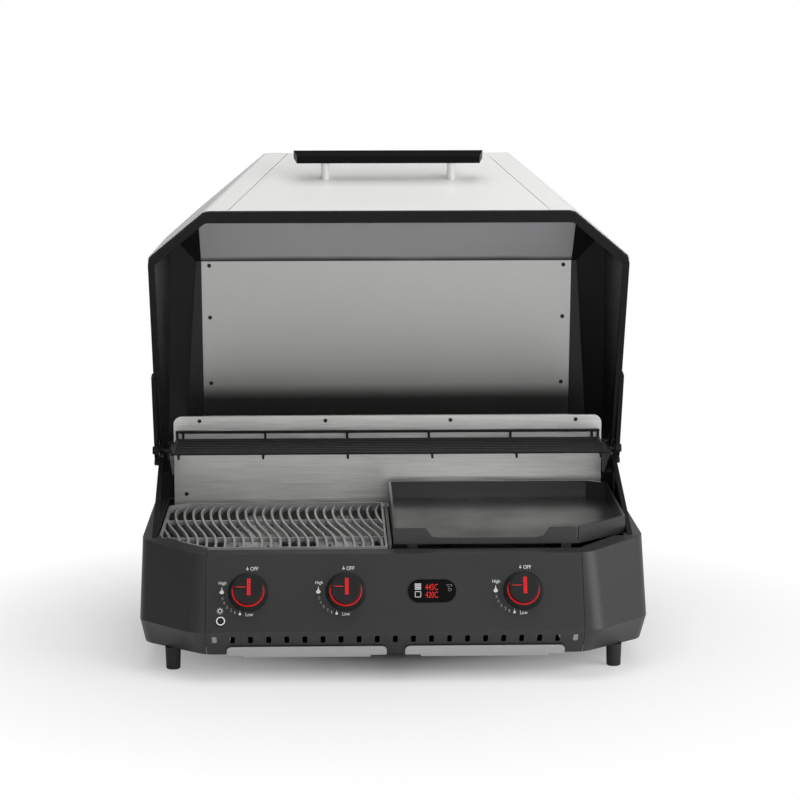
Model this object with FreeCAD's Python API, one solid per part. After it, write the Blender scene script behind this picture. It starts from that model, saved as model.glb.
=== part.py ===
import FreeCAD, Part
import math
import os

# Table-top gas grill with an open lid, two cooking surfaces and three lit knobs.
# Millimetres. X to the right, Y to the back, Z up from the surface that the feet stand on.
# Depths are counted back from the crease, the foremost line of the housing.

V = FreeCAD.Vector
X_AXIS = V(1, 0, 0)
Y_AXIS = V(0, 1, 0)
Z_AXIS = V(0, 0, 1)
SIDES = ((-1, "left"), (1, "right"))

# Origin: the crease lies this far in front of it, so that it is under the middle of the open grill.
CREASE_TO_ORIGIN = 317.8

# Sizes that the rest follows: half width at the housing's top edge, depth from the crease to the rear
# wall, and the heights of the crease, the front edge and the side edge behind the corner.
HALF_WIDTH = 404.7
REAR_DEPTH = 560.0
CREASE_Z = 82.0
FASCIA_TOP_Z = 193.5
TOP_Z = 201.5

# Sheet and clearances.
SHEET = 1.5
SEAM = 0.6
MOVING_GAP = 0.3
RUNNING_FIT = 0.05

# Housing: the side walls bulge at the crease and draw in at the bottom; a chamfered corner at each side.
CREASE_BULGE = 1.8
BOTTOM_DRAW = 3.7
BOTTOM_Z = 36.8
BOTTOM_DEPTH = 40.0
BOTTOM_CORNER = 101.0
BOTTOM_SIDE_DEPTH = 128.0
CREASE_CORNER = 86.5
CREASE_SIDE_DEPTH = 93.0
TOP_CORNER = 95.7
TOP_SIDE_DEPTH = 152.0
FASCIA_TOP_DEPTH = 60.0
BEND_RADIUS = 38.0
REAR_RADIUS = 10.0
REAR_CORNER = 30.0
REAR_WALL_Z = 240.0
REAR_TOP_Z = 262.0
WING_BEHIND = 11.0
WING_RISE = 10.0
LOUVRE_ROWS = 3
LOUVRE_COLUMNS = 9
LOUVRE_PITCH = 74.0
LOUVRE_LENGTH = 56.0
LOUVRE_HEIGHT = 6.0
LOUVRE_RISE = 16.0
LOUVRE_Z = 175.0
SEAM_INSET = 107.7
LEDGE_DEPTH = 85.0
DROP_LENGTH = 12.0

# Hinge line and the parting line between the housing and the closed lid.
HINGE_TO_REAR = 34.0
HINGE_Z = 281.0
OPEN_ANGLE = 77.8
LID_GAP = 1.5

# Firebox and what it holds.
BOX_INSET = 20.7
BOX_FRONT = 98.0
BOX_TO_BACK = 12.0
BOX_FLOOR_Z = 90.0
BOX_BELOW_TOP = 15.0
BOX_CHAMFER = 84.0
RAIL_REACH = 12.0
RAIL_LIP = 8.0
TAMER_SEAT = 8.0
DIVIDER_X = -5.0
DIVIDER_WIDTH = 5.0
DIVIDER_TOP_Z = 196.0
CHUTE_SIZE = 110.0
FLOOR_PAN_Z = 53.0
PAN_WINDOW = (36.0, 45.0, 110.0)

# Cooking surfaces.
SURFACE_TO_BOX = 4.0
SURFACE_FRONT = 100.0
SURFACE_TO_REAR = 8.0
SURFACE_CHAMFER = 84.0
REAR_CHAMFER_X = 32.0
REAR_CHAMFER_Y = 20.0
SURFACE_GAP = 5.0
GRATE_TOP_Z = 196.5
GRATE_HEIGHT = 13.0
GRATE_FRAME = 3.5
BAR_DROP = 4.2
BAR_PITCH = 14.9
BAR_START = 13.0
BAR_WIDTH = 3.8
BAR_STATIONS = ((0.0, 7.5), (0.16, 0.0), (0.26, 1.9), (0.44, 10.1),
                (0.66, 28.0), (0.82, 34.6), (0.93, 35.2), (1.0, 34.8))
ROD_PLACES = (0.335, 0.72)
ROD_WIDTH = 5.0
ROD_DROP = 1.5
PLATE_BOTTOM_Z = 200.0
PLATE_FLOOR = 5.0
PLATE_WALL = 4.0
PLATE_FRONT_TOP_Z = 225.8
PLATE_REAR_TOP_Z = 234.0
SPOUT_HALF = 85.0
SPOUT_DROP = 15.5
SPOUT_RAMP = 14.0
SLIT_WIDTH = 3.0
PLATE_LIFT = 15.0
PLATE_FOOT = 16.0
FOOT_LENGTH = 8.0

# Burners.
BURNER_Z = 131.0
BURNER_RADIUS = 12.0
BURNER_WALL = 1.5
BURNER_TO_BOX = 40.0
BURNER_SPREAD = 88.0
BURNER_CROSS = 170.0
PORT_PITCH = 34.0
PORT_LENGTH = 6.0
ELECTRODE_RADIUS = 2.5
ELECTRODE_SIDE = 22.0
ELECTRODE_RISE = 4.0
ELECTRODE_LENGTH = 70.0
TAMER_HALF = 46.0
TAMER_RISE = 24.0
TAMER_Z = 150.0
TAMER_SHEET = 1.5
TAMER_FOLD = 0.6
TAMER_SLOTS = 6

# Controls, along the sloped fascia.
CONTROL_ROW = 65.0
KNOB_TO_SEAM = 66.4
KNOB_TO_DIVIDER = 72.3
GRIDDLE_KNOB_TO_SEAM = 94.8
KNOB_NAMES = ("left", "centre", "right")
BEZEL_RADIUS = 32.0
BEZEL_TOP_RADIUS = 27.5
BEZEL_HEIGHT = 7.0
RING_RADIUS = 25.6
RING_HEIGHT = 8.5
RING_BASE = 2.0
KNOB_RADIUS = 23.5
KNOB_FACE = 24.0
KNOB_CLEARANCE = 0.4
KNOB_PUSH = 3.0
KNOB_WALL = 3.0
STEM_RADIUS = 3.0
STEM_TIP = 8.0
PLUG_RADIUS = 6.0
VALVE_RADIUS = 11.0
VALVE_REACH = 46.0
VALVE_END = 12.0
PLUG_FLOOR = 10.0
STEM_END_GAP = 0.5
MANIFOLD_RADIUS = 9.0
NOZZLE_RADIUS = 4.0
MANIFOLD_BEFORE = 30.0
MANIFOLD_PAST = 60.0
INLET_TO_KNOB = 83.8
INLET_Z = 70.0
INLET_RADIUS = 5.0
INLET_NUT = 12.0
INLET_THREAD = 7.9
INLET_BORE = 4.5
INLET_LENGTH = 22.0
BUTTON_TO_SEAM = 23.5
BUTTON_UP = 18.0
BUTTON_RADIUS = 7.0
BUTTON_FLANGE = 2.0
BUTTON_HEIGHT = 2.4
DISPLAY_OFF_MIDDLE = 4.15
DISPLAY_LENGTH = 76.0
DISPLAY_HEIGHT = 37.0
DISPLAY_RIM = 2.0
CASE_LENGTH = 84.0
CASE_HEIGHT = 44.0
CASE_DEPTH = 22.0
CASE_BACK = 14.0

# Vent slots, drip trays and feet.
SLOT_END_GAP = 8.0
SLOT_PITCH = 28.4
SLOT_WIDTH = 7.6
SLOT_LENGTH = 18.5
SLOT_DOWN = 21.0
TRAY_STARTS = (19.3, 22.3)
TRAY_INSET = 164.7
TRAY_FRONT = 46.0
TRAY_TOP_Z = 50.0
TRAY_BOTTOM_Z = 36.5
TRAY_REAR = 330.0
TRAY_SHEET = 1.5
TRAY_PLATE = 2.0
TRAY_PLATE_OUT = 1.0
TRAY_PLATE_PROUD = 6.25
TRAY_PLATE_TOP_Z = 52.8
TRAY_PLATE_LOW_Z = 34.8
TRAY_PLATE_CORNER = 9.0
TRAY_LIP_INSET = 25.25
TRAY_LIP_Z = 31.0
RAIL_SIDE_GAP = 0.5
RAIL_WIDTH = 6.5
FOOT_INSET = 50.7
FOOT_FRONT = 99.0
FOOT_TO_REAR = 60.0
FOOT_RADIUS = 11.3
FOOT_TOP_RADIUS = 12.6
FOOT_STUD = 6.0

# Back panel, warming rack and side cheeks.
BACK_TO_REAR = 68.0
BACK_INSET = 31.7
BACK_TOP_Z = 346.0
BACK_FLANGE = 9.0
BACK_CORNER = 14.0
RACK_Z = 306.2
RACK_DEPTH = 138.0
RACK_TO_BACK = 12.0
RACK_SIDE_GAP = 4.0
RACK_WIRES = 9
RACK_CROSS = 6
WIRE_RADIUS = 2.5
RAIL_RISE = 13.5
RACK_PINS = (28.0, 110.0)
RACK_PIN_REACH = 14.0
RACK_HOOK = 2.5
BRACKET_GAP = 3.0
BRACKET_SHEET = 3.0
CHEEK_INSET = 15.7
CHEEK_FRONT = 158.0
CHEEK_SPLAY = 11.0
CHEEK_FLANGE = 8.0
CHEEK_END_RADIUS = 15.0

# Lid, in the closed position: points are (half width, depth, height).
RIM_OVERHANG = 0.3
RIM_CORNER = 99.0
RIM_TO_FASCIA = 6.0
RIM_HEIGHT = 7.0
RIM_FRONT_WIDTH = 20.0
RIM_SIDE_WIDTH = 10.5
RIM_CHAMFER_WIDTH = 14.0
RIM_BEND = 24.0
RIM_INNER_BEND = 14.0
RIM_END_TO_HINGE = 147.0
RIM_INSET = 4.2
RIM_TO_PIN = 18.0
HOOD_PROUD = 2.5
RIDGE_INSET = 203.0
RIDGE_DEPTH = 20.0
RIDGE_Z = 420.0
SHOULDER_INSET = 15.0
SHOULDER_Z = 356.0
CROWN_INSET = 67.0
CROWN_Z = 412.0
CROWN_TO_REAR = 60.0
CROWN_REAR_Z = 402.0
HOOD_TO_REAR = 8.0
HOOD_REAR_Z = 305.0
HOOD_BASE_Z = 150.0
HOOD_SHEET = 1.5
HOOD_ROUND = 12.0
CAP_WRAP = 24.0
LINER_GAP = 10.0
LINER_SHEET = 1.0
LINER_INSET = 79.0
LINER_FOLD_DEPTH = 216.0
LINER_FOLD_Z = 400.0
LINER_NOSE_Z = 300.0
LINER_REAR_Z = 379.0
HANDLE_LENGTH = 321.0
HANDLE_TAPER = 12.0
HANDLE_FROM_RIM = 105.0
HANDLE_TALL = 22.0
HANDLE_THICK = 15.0
HANDLE_STAND_OFF = 33.0
POST_INSET = 53.5
POST_RADIUS = 7.0
ARM_INSET = 3.5
ARM_THICK = 7.5
ARM_HEIGHT = 22.0
EYE_RADIUS = 13.0
PIN_RADIUS = 4.0
HEEL_REACH = 26.0
HEEL_WIDTH = 10.0
STOP_RADIUS = 4.0

# Fasteners.
SCREW_RADIUS = 3.5
SCREW_HEAD = 1.6
BACK_SCREW_INSET = 45.0
BACK_SCREW_INNER = 109.0
LINER_SCREW_INSET = 14.0
LINER_SCREWS = (0.03, 0.385, 0.84)

# What follows from these.
TOP_SIDE_HALF = HALF_WIDTH
TOP_HALF = TOP_SIDE_HALF - TOP_CORNER
CREASE_SIDE_HALF = HALF_WIDTH + CREASE_BULGE
CREASE_HALF = CREASE_SIDE_HALF - CREASE_CORNER
BOTTOM_SIDE_HALF = HALF_WIDTH - BOTTOM_DRAW
BOTTOM_HALF = BOTTOM_SIDE_HALF - BOTTOM_CORNER
SEAM_X = HALF_WIDTH - SEAM_INSET
KNOB_X = (KNOB_TO_SEAM - SEAM_X, DIVIDER_X - KNOB_TO_DIVIDER, SEAM_X - GRIDDLE_KNOB_TO_SEAM)
BUTTON_X = BUTTON_TO_SEAM - SEAM_X
DISPLAY_X = (KNOB_X[1] + KNOB_X[2]) / 2 - DISPLAY_OFF_MIDDLE
INLET_X = KNOB_X[2] + INLET_TO_KNOB
SLOT_COUNT = 2 * int((SEAM_X - SLOT_WIDTH / 2 - SLOT_END_GAP) / SLOT_PITCH) + 1
TRAY_WIDTH = HALF_WIDTH - TRAY_INSET
TRAY_CENTRES = (-TRAY_STARTS[0] - TRAY_WIDTH / 2, TRAY_STARTS[1] + TRAY_WIDTH / 2)
TRAY_PLATE_WIDTH = TRAY_WIDTH + 2 * TRAY_PLATE_PROUD
TRAY_LIP_WIDTH = TRAY_PLATE_WIDTH - 2 * TRAY_LIP_INSET
POST_X = HANDLE_LENGTH / 2 - POST_INSET
HINGE_DEPTH = REAR_DEPTH - HINGE_TO_REAR
BACK_DEPTH = REAR_DEPTH - BACK_TO_REAR
BACK_HALF = HALF_WIDTH - BACK_INSET
BOX_HALF = HALF_WIDTH - BOX_INSET
BOX_REAR = BACK_DEPTH - BOX_TO_BACK
BOX_TOP_Z = TOP_Z - BOX_BELOW_TOP
BURNER_REAR = BOX_REAR - BURNER_TO_BOX
SURFACE_HALF = BOX_HALF - SURFACE_TO_BOX
SURFACE_REAR = BOX_REAR - SURFACE_TO_REAR
SURFACE_LENGTH = SURFACE_REAR - SURFACE_FRONT
RACK_REAR = BACK_DEPTH - RACK_TO_BACK
RACK_FRONT = RACK_REAR - RACK_DEPTH
RACK_HALF = BACK_HALF - RACK_SIDE_GAP
FOOT_X = HALF_WIDTH - FOOT_INSET
FOOT_DEPTHS = (FOOT_FRONT, REAR_DEPTH - FOOT_TO_REAR)
CHEEK_HALF = HALF_WIDTH - CHEEK_INSET
RIM_HALF = HALF_WIDTH + RIM_OVERHANG
RIM_FRONT_HALF = RIM_HALF - RIM_CORNER
RIM_FRONT = FASCIA_TOP_DEPTH + RIM_TO_FASCIA
RIM_SIDE_DEPTH = TOP_SIDE_DEPTH
RIM_END_DEPTH = HINGE_DEPTH - RIM_END_TO_HINGE
RIDGE_HALF = RIM_HALF - RIDGE_INSET
SHOULDER_HALF = RIM_HALF - SHOULDER_INSET
CROWN_HALF = RIM_HALF - CROWN_INSET
CROWN_REAR = REAR_DEPTH - CROWN_TO_REAR
HOOD_REAR = REAR_DEPTH - HOOD_TO_REAR
LINER_HALF = RIM_HALF - LINER_INSET
ARM_INNER = RIM_HALF - ARM_INSET
CREASE_Y = -CREASE_TO_ORIGIN
GRATE_BOTTOM_Z = GRATE_TOP_Z - GRATE_HEIGHT
RAIL_Z = GRATE_BOTTOM_Z - MOVING_GAP
BAND_SLOPE = BOTTOM_DEPTH / (CREASE_Z - BOTTOM_Z)
SLOPE = math.atan2(FASCIA_TOP_DEPTH, FASCIA_TOP_Z - CREASE_Z)
PANEL_TILT = 90.0 - math.degrees(SLOPE)
PANEL_NORMAL = V(0, -math.cos(SLOPE), math.sin(SLOPE))
RIM_SLOPE = (HINGE_Z - TOP_Z) / (HINGE_DEPTH - TOP_SIDE_DEPTH)

# Cutters reach past every piece: to the sides, ahead of the crease, behind and above.
FAR_SIDE = HALF_WIDTH + 100.0
FAR_FRONT = -60.0
FAR_REAR = REAR_DEPTH + 90.0
FAR_TOP = RIDGE_Z + 100.0


def pt(x, depth, z):
    return V(x, depth + CREASE_Y, z)


def block(x0, x1, depth0, depth1, z0, z1):
    return Part.makeBox(x1 - x0, depth1 - depth0, z1 - z0, pt(x0, depth0, z0))


def prism_x(profile, x0, x1):
    # A profile of (depth, height) points, drawn out along X.
    points = [pt(x0, depth, z) for depth, z in profile]
    face = Part.Face(Part.makePolygon(points + points[:1]))
    return face.extrude(V(x1 - x0, 0, 0))


def prism_z(outline, z0, z1):
    points = [pt(x, depth, z0) for x, depth in outline]
    face = Part.Face(Part.makePolygon(points + points[:1]))
    return face.extrude(V(0, 0, z1 - z0))


def pair(low, high, side):
    # Two limits along X that are mirrored for the left-hand side.
    return (low, high) if side > 0 else (-high, -low)


def wire(start, end, radius):
    # A straight wire, drawn with eight flats.
    axis = (end - start).normalize()
    across = axis.cross(Z_AXIS if abs(axis.z) < 0.9 else X_AXIS).normalize()
    up = axis.cross(across)
    points = []
    for index in range(8):
        turn = math.pi * (index + 0.5) / 4
        points.append(start + (across * math.cos(turn) + up * math.sin(turn)) * radius)
    return Part.Face(Part.makePolygon(points + points[:1])).extrude(end - start)


def rod(start, end, radius):
    return Part.makeCylinder(radius, (end - start).Length, start, end - start)


def pipe(start, end, radius, wall):
    return rod(start, end, radius).cut(rod(start, end, radius - wall))


def fused(shapes):
    joined = shapes[0].multiFuse(list(shapes[1:])) if len(shapes) > 1 else shapes[0]
    return joined.removeSplitter()


def mirrored(shape):
    return shape.mirror(V(0, 0, 0), X_AXIS)


def on_panel(shape, x, up):
    # Carries a shape drawn about its own Z axis to the sloped fascia, with Z as the outward normal.
    placed = shape.copy()
    placed.rotate(V(0, 0, 0), X_AXIS, PANEL_TILT)
    placed.translate(panel_point(x, up, 0))
    return placed


def panel_point(x, up, out):
    along = V(0, math.sin(SLOPE), math.cos(SLOPE))
    return pt(x, 0, CREASE_Z) + along * up + PANEL_NORMAL * out


def slot_shape(length, height, radius, z0, z1):
    # A rounded rectangle about the origin, drawn out from z0 to z1.
    solid = Part.makeBox(length, height, z1 - z0, V(-length / 2, -height / 2, z0))
    upright = [edge for edge in solid.Edges if abs(edge.tangentAt(0).z) > 0.99]
    return solid.makeFillet(radius, upright)


def export(name, shapes):
    solids = []
    for shape in shapes:
        solids += shape.Solids
    group = solids[0] if len(solids) == 1 else Part.makeCompound(solids)
    group.exportStep("parts/" + name + ".step")
    box = group.BoundBox
    print("%-24s %3d solids  volume %9.0f  valid %s  y %.1f %.1f  z %.1f %.1f" % (
        name, len(solids), group.Volume, group.isValid(), box.YMin, box.YMax, box.ZMin, box.ZMax))


def corner_arc(before, corner, after, radius):
    # Rounds one corner of an outline: the two tangent points and the middle of the arc.
    to_before = (before - corner).normalize()
    to_after = (after - corner).normalize()
    half_angle = to_before.getAngle(to_after) / 2
    reach = radius / math.tan(half_angle)
    bisector = (to_before + to_after).normalize()
    middle = corner + bisector * (radius / math.sin(half_angle) - radius)
    return corner + to_before * reach, middle, corner + to_after * reach


def rounded_wire(points, radii):
    arcs = []
    for index, corner in enumerate(points):
        before = points[index - 1]
        after = points[(index + 1) % len(points)]
        arcs.append(corner_arc(before, corner, after, radii[index]))
    edges = []
    for index, (start, middle, end) in enumerate(arcs):
        edges.append(Part.Arc(start, middle, end).toShape())
        edges.append(Part.makeLine(end, arcs[(index + 1) % len(arcs)][0]))
    return Part.Wire(edges)


def housing_wire(half, depth, side_half, side_depth, z, inset):
    # The plan of the housing at one height: front, two chamfered corners, sides and rear.
    lean = math.atan2(side_depth - depth, side_half - half)
    shift = inset * math.tan((math.pi / 2 - lean) / 2)
    front_half = half - inset * math.tan(lean / 2)
    points = [pt(-front_half, depth + inset, z), pt(front_half, depth + inset, z),
              pt(side_half - inset, side_depth + shift, z), pt(side_half - inset, REAR_DEPTH - inset, z),
              pt(-side_half + inset, REAR_DEPTH - inset, z), pt(-side_half + inset, side_depth + shift, z)]
    bend = BEND_RADIUS - inset
    corner = REAR_RADIUS - inset
    return rounded_wire(points, [bend, bend, bend, corner, corner, bend])


def housing_solid(inset):
    bottom = housing_wire(BOTTOM_HALF, BOTTOM_DEPTH, BOTTOM_SIDE_HALF, BOTTOM_SIDE_DEPTH, BOTTOM_Z, inset)
    crease = housing_wire(CREASE_HALF, 0, CREASE_SIDE_HALF, CREASE_SIDE_DEPTH, CREASE_Z, inset)
    rise = FASCIA_TOP_DEPTH * (TOP_Z - CREASE_Z) / (FASCIA_TOP_Z - CREASE_Z)
    top = housing_wire(TOP_HALF, rise, TOP_SIDE_HALF, TOP_SIDE_DEPTH, TOP_Z, inset)
    lower = Part.makeLoft([bottom, crease], True, True)
    upper = Part.makeLoft([crease, top], True, True)
    return lower, upper


def parting_z(depth):
    # Height of the housing's top edge: gently up over the front corner, then along the cheeks.
    if depth <= TOP_SIDE_DEPTH:
        front_slope = (TOP_Z - FASCIA_TOP_Z) / (TOP_SIDE_DEPTH - FASCIA_TOP_DEPTH)
        return FASCIA_TOP_Z + (depth - FASCIA_TOP_DEPTH) * front_slope
    return TOP_Z + (depth - TOP_SIDE_DEPTH) * RIM_SLOPE


def band_above(depth0, depth1, low, high):
    # The (depth, height) profile of a band that follows the parting line.
    depths = [depth0, TOP_SIDE_DEPTH, depth1]
    lower = [(depth, parting_z(depth) + low) for depth in depths]
    upper = [(depth, parting_z(depth) + high) for depth in reversed(depths)]
    return lower + upper


def housing_shells():
    lower, upper = housing_solid(0)
    lower_in, upper_in = housing_solid(SHEET)
    lid_space = prism_x(band_above(FAR_FRONT, FAR_REAR, 0, FAR_TOP), -FAR_SIDE, FAR_SIDE)
    flat_top = block(-FAR_SIDE, FAR_SIDE, TOP_SIDE_DEPTH, FAR_REAR, TOP_Z, FAR_TOP)
    upper_wall = upper.cut(upper_in).cut(lid_space).cut(flat_top)
    return lower.cut(lower_in), upper_wall, upper_in


def control_holes():
    holes = []
    reach = 10.0
    for x in KNOB_X:
        hole = Part.makeCylinder(PLUG_RADIUS + 1, 2 * reach, V(0, 0, -reach))
        holes.append(on_panel(hole, x, CONTROL_ROW))
    hole = Part.makeCylinder(BUTTON_RADIUS + MOVING_GAP, 2 * reach, V(0, 0, -reach))
    holes.append(on_panel(hole, BUTTON_X, BUTTON_UP))
    inner_length = DISPLAY_LENGTH - 2 * DISPLAY_RIM
    inner_height = DISPLAY_HEIGHT - 2 * DISPLAY_RIM
    pill = slot_shape(inner_length, inner_height, inner_height / 2 - 0.1, -reach, reach)
    holes.append(on_panel(pill, DISPLAY_X, CONTROL_ROW))
    return holes


def front_ledge(half, upper_in):
    # The flat top of the fascia, turned inwards behind the controls.
    profile = band_above(FASCIA_TOP_DEPTH / 2, TOP_SIDE_DEPTH + 1, -SHEET, 0)
    sheet = prism_x(profile, -half, half)
    return sheet.common(upper_in).common(block(-half, half, 0, LEDGE_DEPTH, 0, FAR_TOP))


def fascia_panel(upper_wall, upper_in):
    middle = block(-SEAM_X, SEAM_X, FAR_FRONT, LEDGE_DEPTH, CREASE_Z - 1, FAR_TOP)
    wall = upper_wall.common(middle)
    ledge = front_ledge(SEAM_X, upper_in)
    edge_z = parting_z(LEDGE_DEPTH) - SHEET
    drop = block(-SEAM_X, SEAM_X, LEDGE_DEPTH - SHEET, LEDGE_DEPTH, edge_z - DROP_LENGTH, edge_z)
    return fused([wall, ledge, drop]).cut(Part.makeCompound(control_holes()))


def vent_slots():
    slots = []
    run = math.hypot(BOTTOM_DEPTH, CREASE_Z - BOTTOM_Z)
    tilt = math.degrees(math.atan2(CREASE_Z - BOTTOM_Z, BOTTOM_DEPTH))
    share = SLOT_DOWN / run
    depth = BOTTOM_DEPTH * share
    z = CREASE_Z - (CREASE_Z - BOTTOM_Z) * share
    for index in range(SLOT_COUNT):
        x = (index - (SLOT_COUNT - 1) / 2) * SLOT_PITCH
        cutter = slot_shape(SLOT_WIDTH, SLOT_LENGTH, SLOT_WIDTH * 0.42, -6, 6)
        cutter.rotate(V(0, 0, 0), X_AXIS, 180 - tilt)
        cutter.translate(pt(x, depth, z))
        slots.append(cutter)
    return slots


def lower_skirt(lower_wall):
    middle = block(-SEAM_X, SEAM_X, FAR_FRONT, LEDGE_DEPTH, BOTTOM_Z, CREASE_Z)
    wall = lower_wall.common(middle)
    cutters = vent_slots()
    for centre in TRAY_CENTRES:
        half = TRAY_WIDTH / 2 + 1.5
        cutters.append(block(centre - half, centre + half, 0, TRAY_FRONT + 20, 0, TRAY_TOP_Z + 1.5))
    return wall.cut(Part.makeCompound(cutters))


def side_shell(lower_wall, upper_wall, upper_in):
    # The right-hand corner and side: chamfered front corner, side wall, rear corner and top ledge.
    outside = block(SEAM_X + SEAM, FAR_SIDE, FAR_FRONT, FAR_REAR, 0, FAR_TOP)
    rear_x = TOP_SIDE_HALF - REAR_CORNER
    rear_cut = block(0, rear_x, BACK_DEPTH + SHEET, FAR_REAR, 0, FAR_TOP)
    walls = [lower_wall.common(outside).cut(rear_cut), upper_wall.common(outside).cut(rear_cut)]
    profile = band_above(FASCIA_TOP_DEPTH / 2, TOP_SIDE_DEPTH + 1, -SHEET, 0)
    corner_top = prism_x(profile, SEAM_X + SEAM, FAR_SIDE).common(upper_in)
    corner_top = corner_top.common(block(0, FAR_SIDE, 0, TOP_SIDE_DEPTH, 0, FAR_TOP))
    edge = SURFACE_HALF + 2
    inner = [(0, LEDGE_DEPTH), (SURFACE_HALF - SURFACE_CHAMFER, LEDGE_DEPTH),
             (edge, LEDGE_DEPTH + SURFACE_CHAMFER + 8), (edge, BACK_DEPTH + SHEET),
             (rear_x, BACK_DEPTH + SHEET), (rear_x, FAR_REAR), (0, FAR_REAR)]
    opening = prism_z(inner, 0, FAR_TOP)
    side_top = block(rear_x, FAR_SIDE, TOP_SIDE_DEPTH, REAR_DEPTH, TOP_Z - SHEET, TOP_Z).common(upper_in)
    tops = fused([corner_top.cut(opening), side_top.cut(opening)])
    return fused(walls + [tops])


def louvre_cutters():
    cutters = []
    for row in range(LOUVRE_ROWS):
        z = LOUVRE_Z + row * LOUVRE_RISE
        for column in range(LOUVRE_COLUMNS):
            x = (column - (LOUVRE_COLUMNS - 1) / 2) * LOUVRE_PITCH
            cutters.append(block(x - LOUVRE_LENGTH / 2, x + LOUVRE_LENGTH / 2, REAR_DEPTH - 5, REAR_DEPTH + 5,
                                 z - LOUVRE_HEIGHT / 2, z + LOUVRE_HEIGHT / 2))
    return cutters


def rear_casing():
    # The back of the housing: a wall, a sloped top up to the back panel, end plates and corner plates.
    half = TOP_SIDE_HALF - REAR_CORNER - SEAM
    top_front = BACK_DEPTH + SHEET
    outer = [(REAR_DEPTH, BOTTOM_Z), (REAR_DEPTH, REAR_WALL_Z), (top_front, REAR_TOP_Z),
             (top_front, REAR_TOP_Z - SHEET), (REAR_DEPTH - SHEET, REAR_WALL_Z - SHEET),
             (REAR_DEPTH - SHEET, BOTTOM_Z)]
    pieces = [prism_x(outer, -half, half)]
    end = [(top_front, TOP_Z), (REAR_DEPTH, TOP_Z), (REAR_DEPTH, REAR_WALL_Z), (top_front, REAR_TOP_Z)]
    wing_near = top_front + WING_BEHIND
    wing_reach = cheek_face(wing_near) - SHEET - MOVING_GAP
    wing = block(half - SHEET, wing_reach, wing_near, wing_near + SHEET, TOP_Z, REAR_TOP_Z + WING_RISE)
    end_plate = prism_x(end, half - SHEET, half)
    pieces += [end_plate, mirrored(end_plate), wing, mirrored(wing)]
    start = pt(INLET_X, REAR_DEPTH - 10, INLET_Z)
    hole = rod(start, start + V(0, 20, 0), INLET_RADIUS + MOVING_GAP)
    return fused(pieces).cut(Part.makeCompound(louvre_cutters() + [hole]))


def box_outline(inset):
    half = BOX_HALF - inset
    front = BOX_FRONT + inset
    rear = BOX_REAR - inset
    slip = inset * 0.41
    right = [(half - BOX_CHAMFER + slip, front), (half, front + BOX_CHAMFER - slip), (half, rear)]
    left = [(-x, depth) for x, depth in reversed(right)]
    return right + left


def firebox():
    # One welded tub: floor with two drain chutes, shelves for the cooking surfaces and tamer seats.
    tub = prism_z(box_outline(0), BOX_FLOOR_Z - SHEET, BOX_TOP_Z)
    room = prism_z(box_outline(SHEET), BOX_FLOOR_Z, BOX_TOP_Z + 1)
    pieces = [tub.cut(room)] + support_rails() + tamer_seats()
    cutters = []
    half = CHUTE_SIZE / 2
    for centre in TRAY_CENTRES:
        pieces.append(chute_box(centre, half, FLOOR_PAN_Z, BOX_FLOOR_Z))
        cutters.append(chute_box(centre, half - SHEET, FLOOR_PAN_Z - 1, BOX_FLOOR_Z + 1))
    for x in KNOB_X:
        near = pt(x, BOX_FRONT - 5, BURNER_Z)
        cutters.append(rod(near, near + V(0, 10, 0), BURNER_RADIUS + MOVING_GAP))
        near = pt(x + ELECTRODE_SIDE, BOX_FRONT - 5, BURNER_Z + ELECTRODE_RISE)
        cutters.append(rod(near, near + V(0, 10, 0), ELECTRODE_RADIUS + RUNNING_FIT))
    return fused(pieces).cut(Part.makeCompound(cutters))


def tamer_seats():
    seats = []
    for x in KNOB_X[:2]:
        for side in (-1, 1):
            inner = x + side * (TAMER_HALF - 8)
            outer = x + side * (TAMER_HALF + 2)
            for near in (BOX_FRONT + SHEET, BOX_REAR - SHEET - TAMER_SEAT):
                top = TAMER_Z - TAMER_FOLD - MOVING_GAP
                low_x, high_x = min(inner, outer), max(inner, outer)
                seats.append(block(low_x, high_x, near, near + TAMER_SEAT, top - SHEET, top))
    return seats


def chute_box(centre, half, z0, z1):
    middle = (BOX_FRONT + TRAY_REAR) / 2
    return block(centre - half, centre + half, middle - half, middle + half, z0, z1)


def floor_pan():
    room = housing_solid(SHEET + MOVING_GAP)[0]
    pan = room.common(block(-FAR_SIDE, FAR_SIDE, FAR_FRONT, REAR_DEPTH, FLOOR_PAN_Z - SHEET, FLOOR_PAN_Z))
    for centre in TRAY_CENTRES:
        pan = pan.cut(chute_box(centre, CHUTE_SIZE / 2 - SHEET, FLOOR_PAN_Z - 10, FLOOR_PAN_Z + 10))
    width, near, far = PAN_WINDOW
    for side in (-1, 1):
        low, high = pair(SEAM_X - width, SEAM_X - SEAM, side)
        pan = pan.cut(block(low, high, near, far, FLOOR_PAN_Z - 10, FLOOR_PAN_Z + 10))
    return pan


def support_rails():
    # Two shelves along the front and rear walls of the firebox, for the grate and the griddle plate.
    front_half = BOX_HALF - BOX_CHAMFER - SHEET
    rear_half = BOX_HALF - SHEET
    rails = []
    for half, near, far in ((front_half, BOX_FRONT + SHEET, BOX_FRONT + SHEET + RAIL_REACH),
                            (rear_half, BOX_REAR - SHEET - RAIL_REACH, BOX_REAR - SHEET)):
        lip_near = near if far < BOX_REAR / 2 else far - SHEET
        shelf = block(-half, half, near, far, RAIL_Z - SHEET, RAIL_Z)
        lip = block(-half, half, lip_near, lip_near + SHEET, RAIL_Z - RAIL_LIP, RAIL_Z)
        notch = block(DIVIDER_X - 3, DIVIDER_X + 3, near - 1, far + 1, BOX_FLOOR_Z + 1, RAIL_Z + 1)
        rails.append(fused([shelf, lip]).cut(notch))
    return rails


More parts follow.
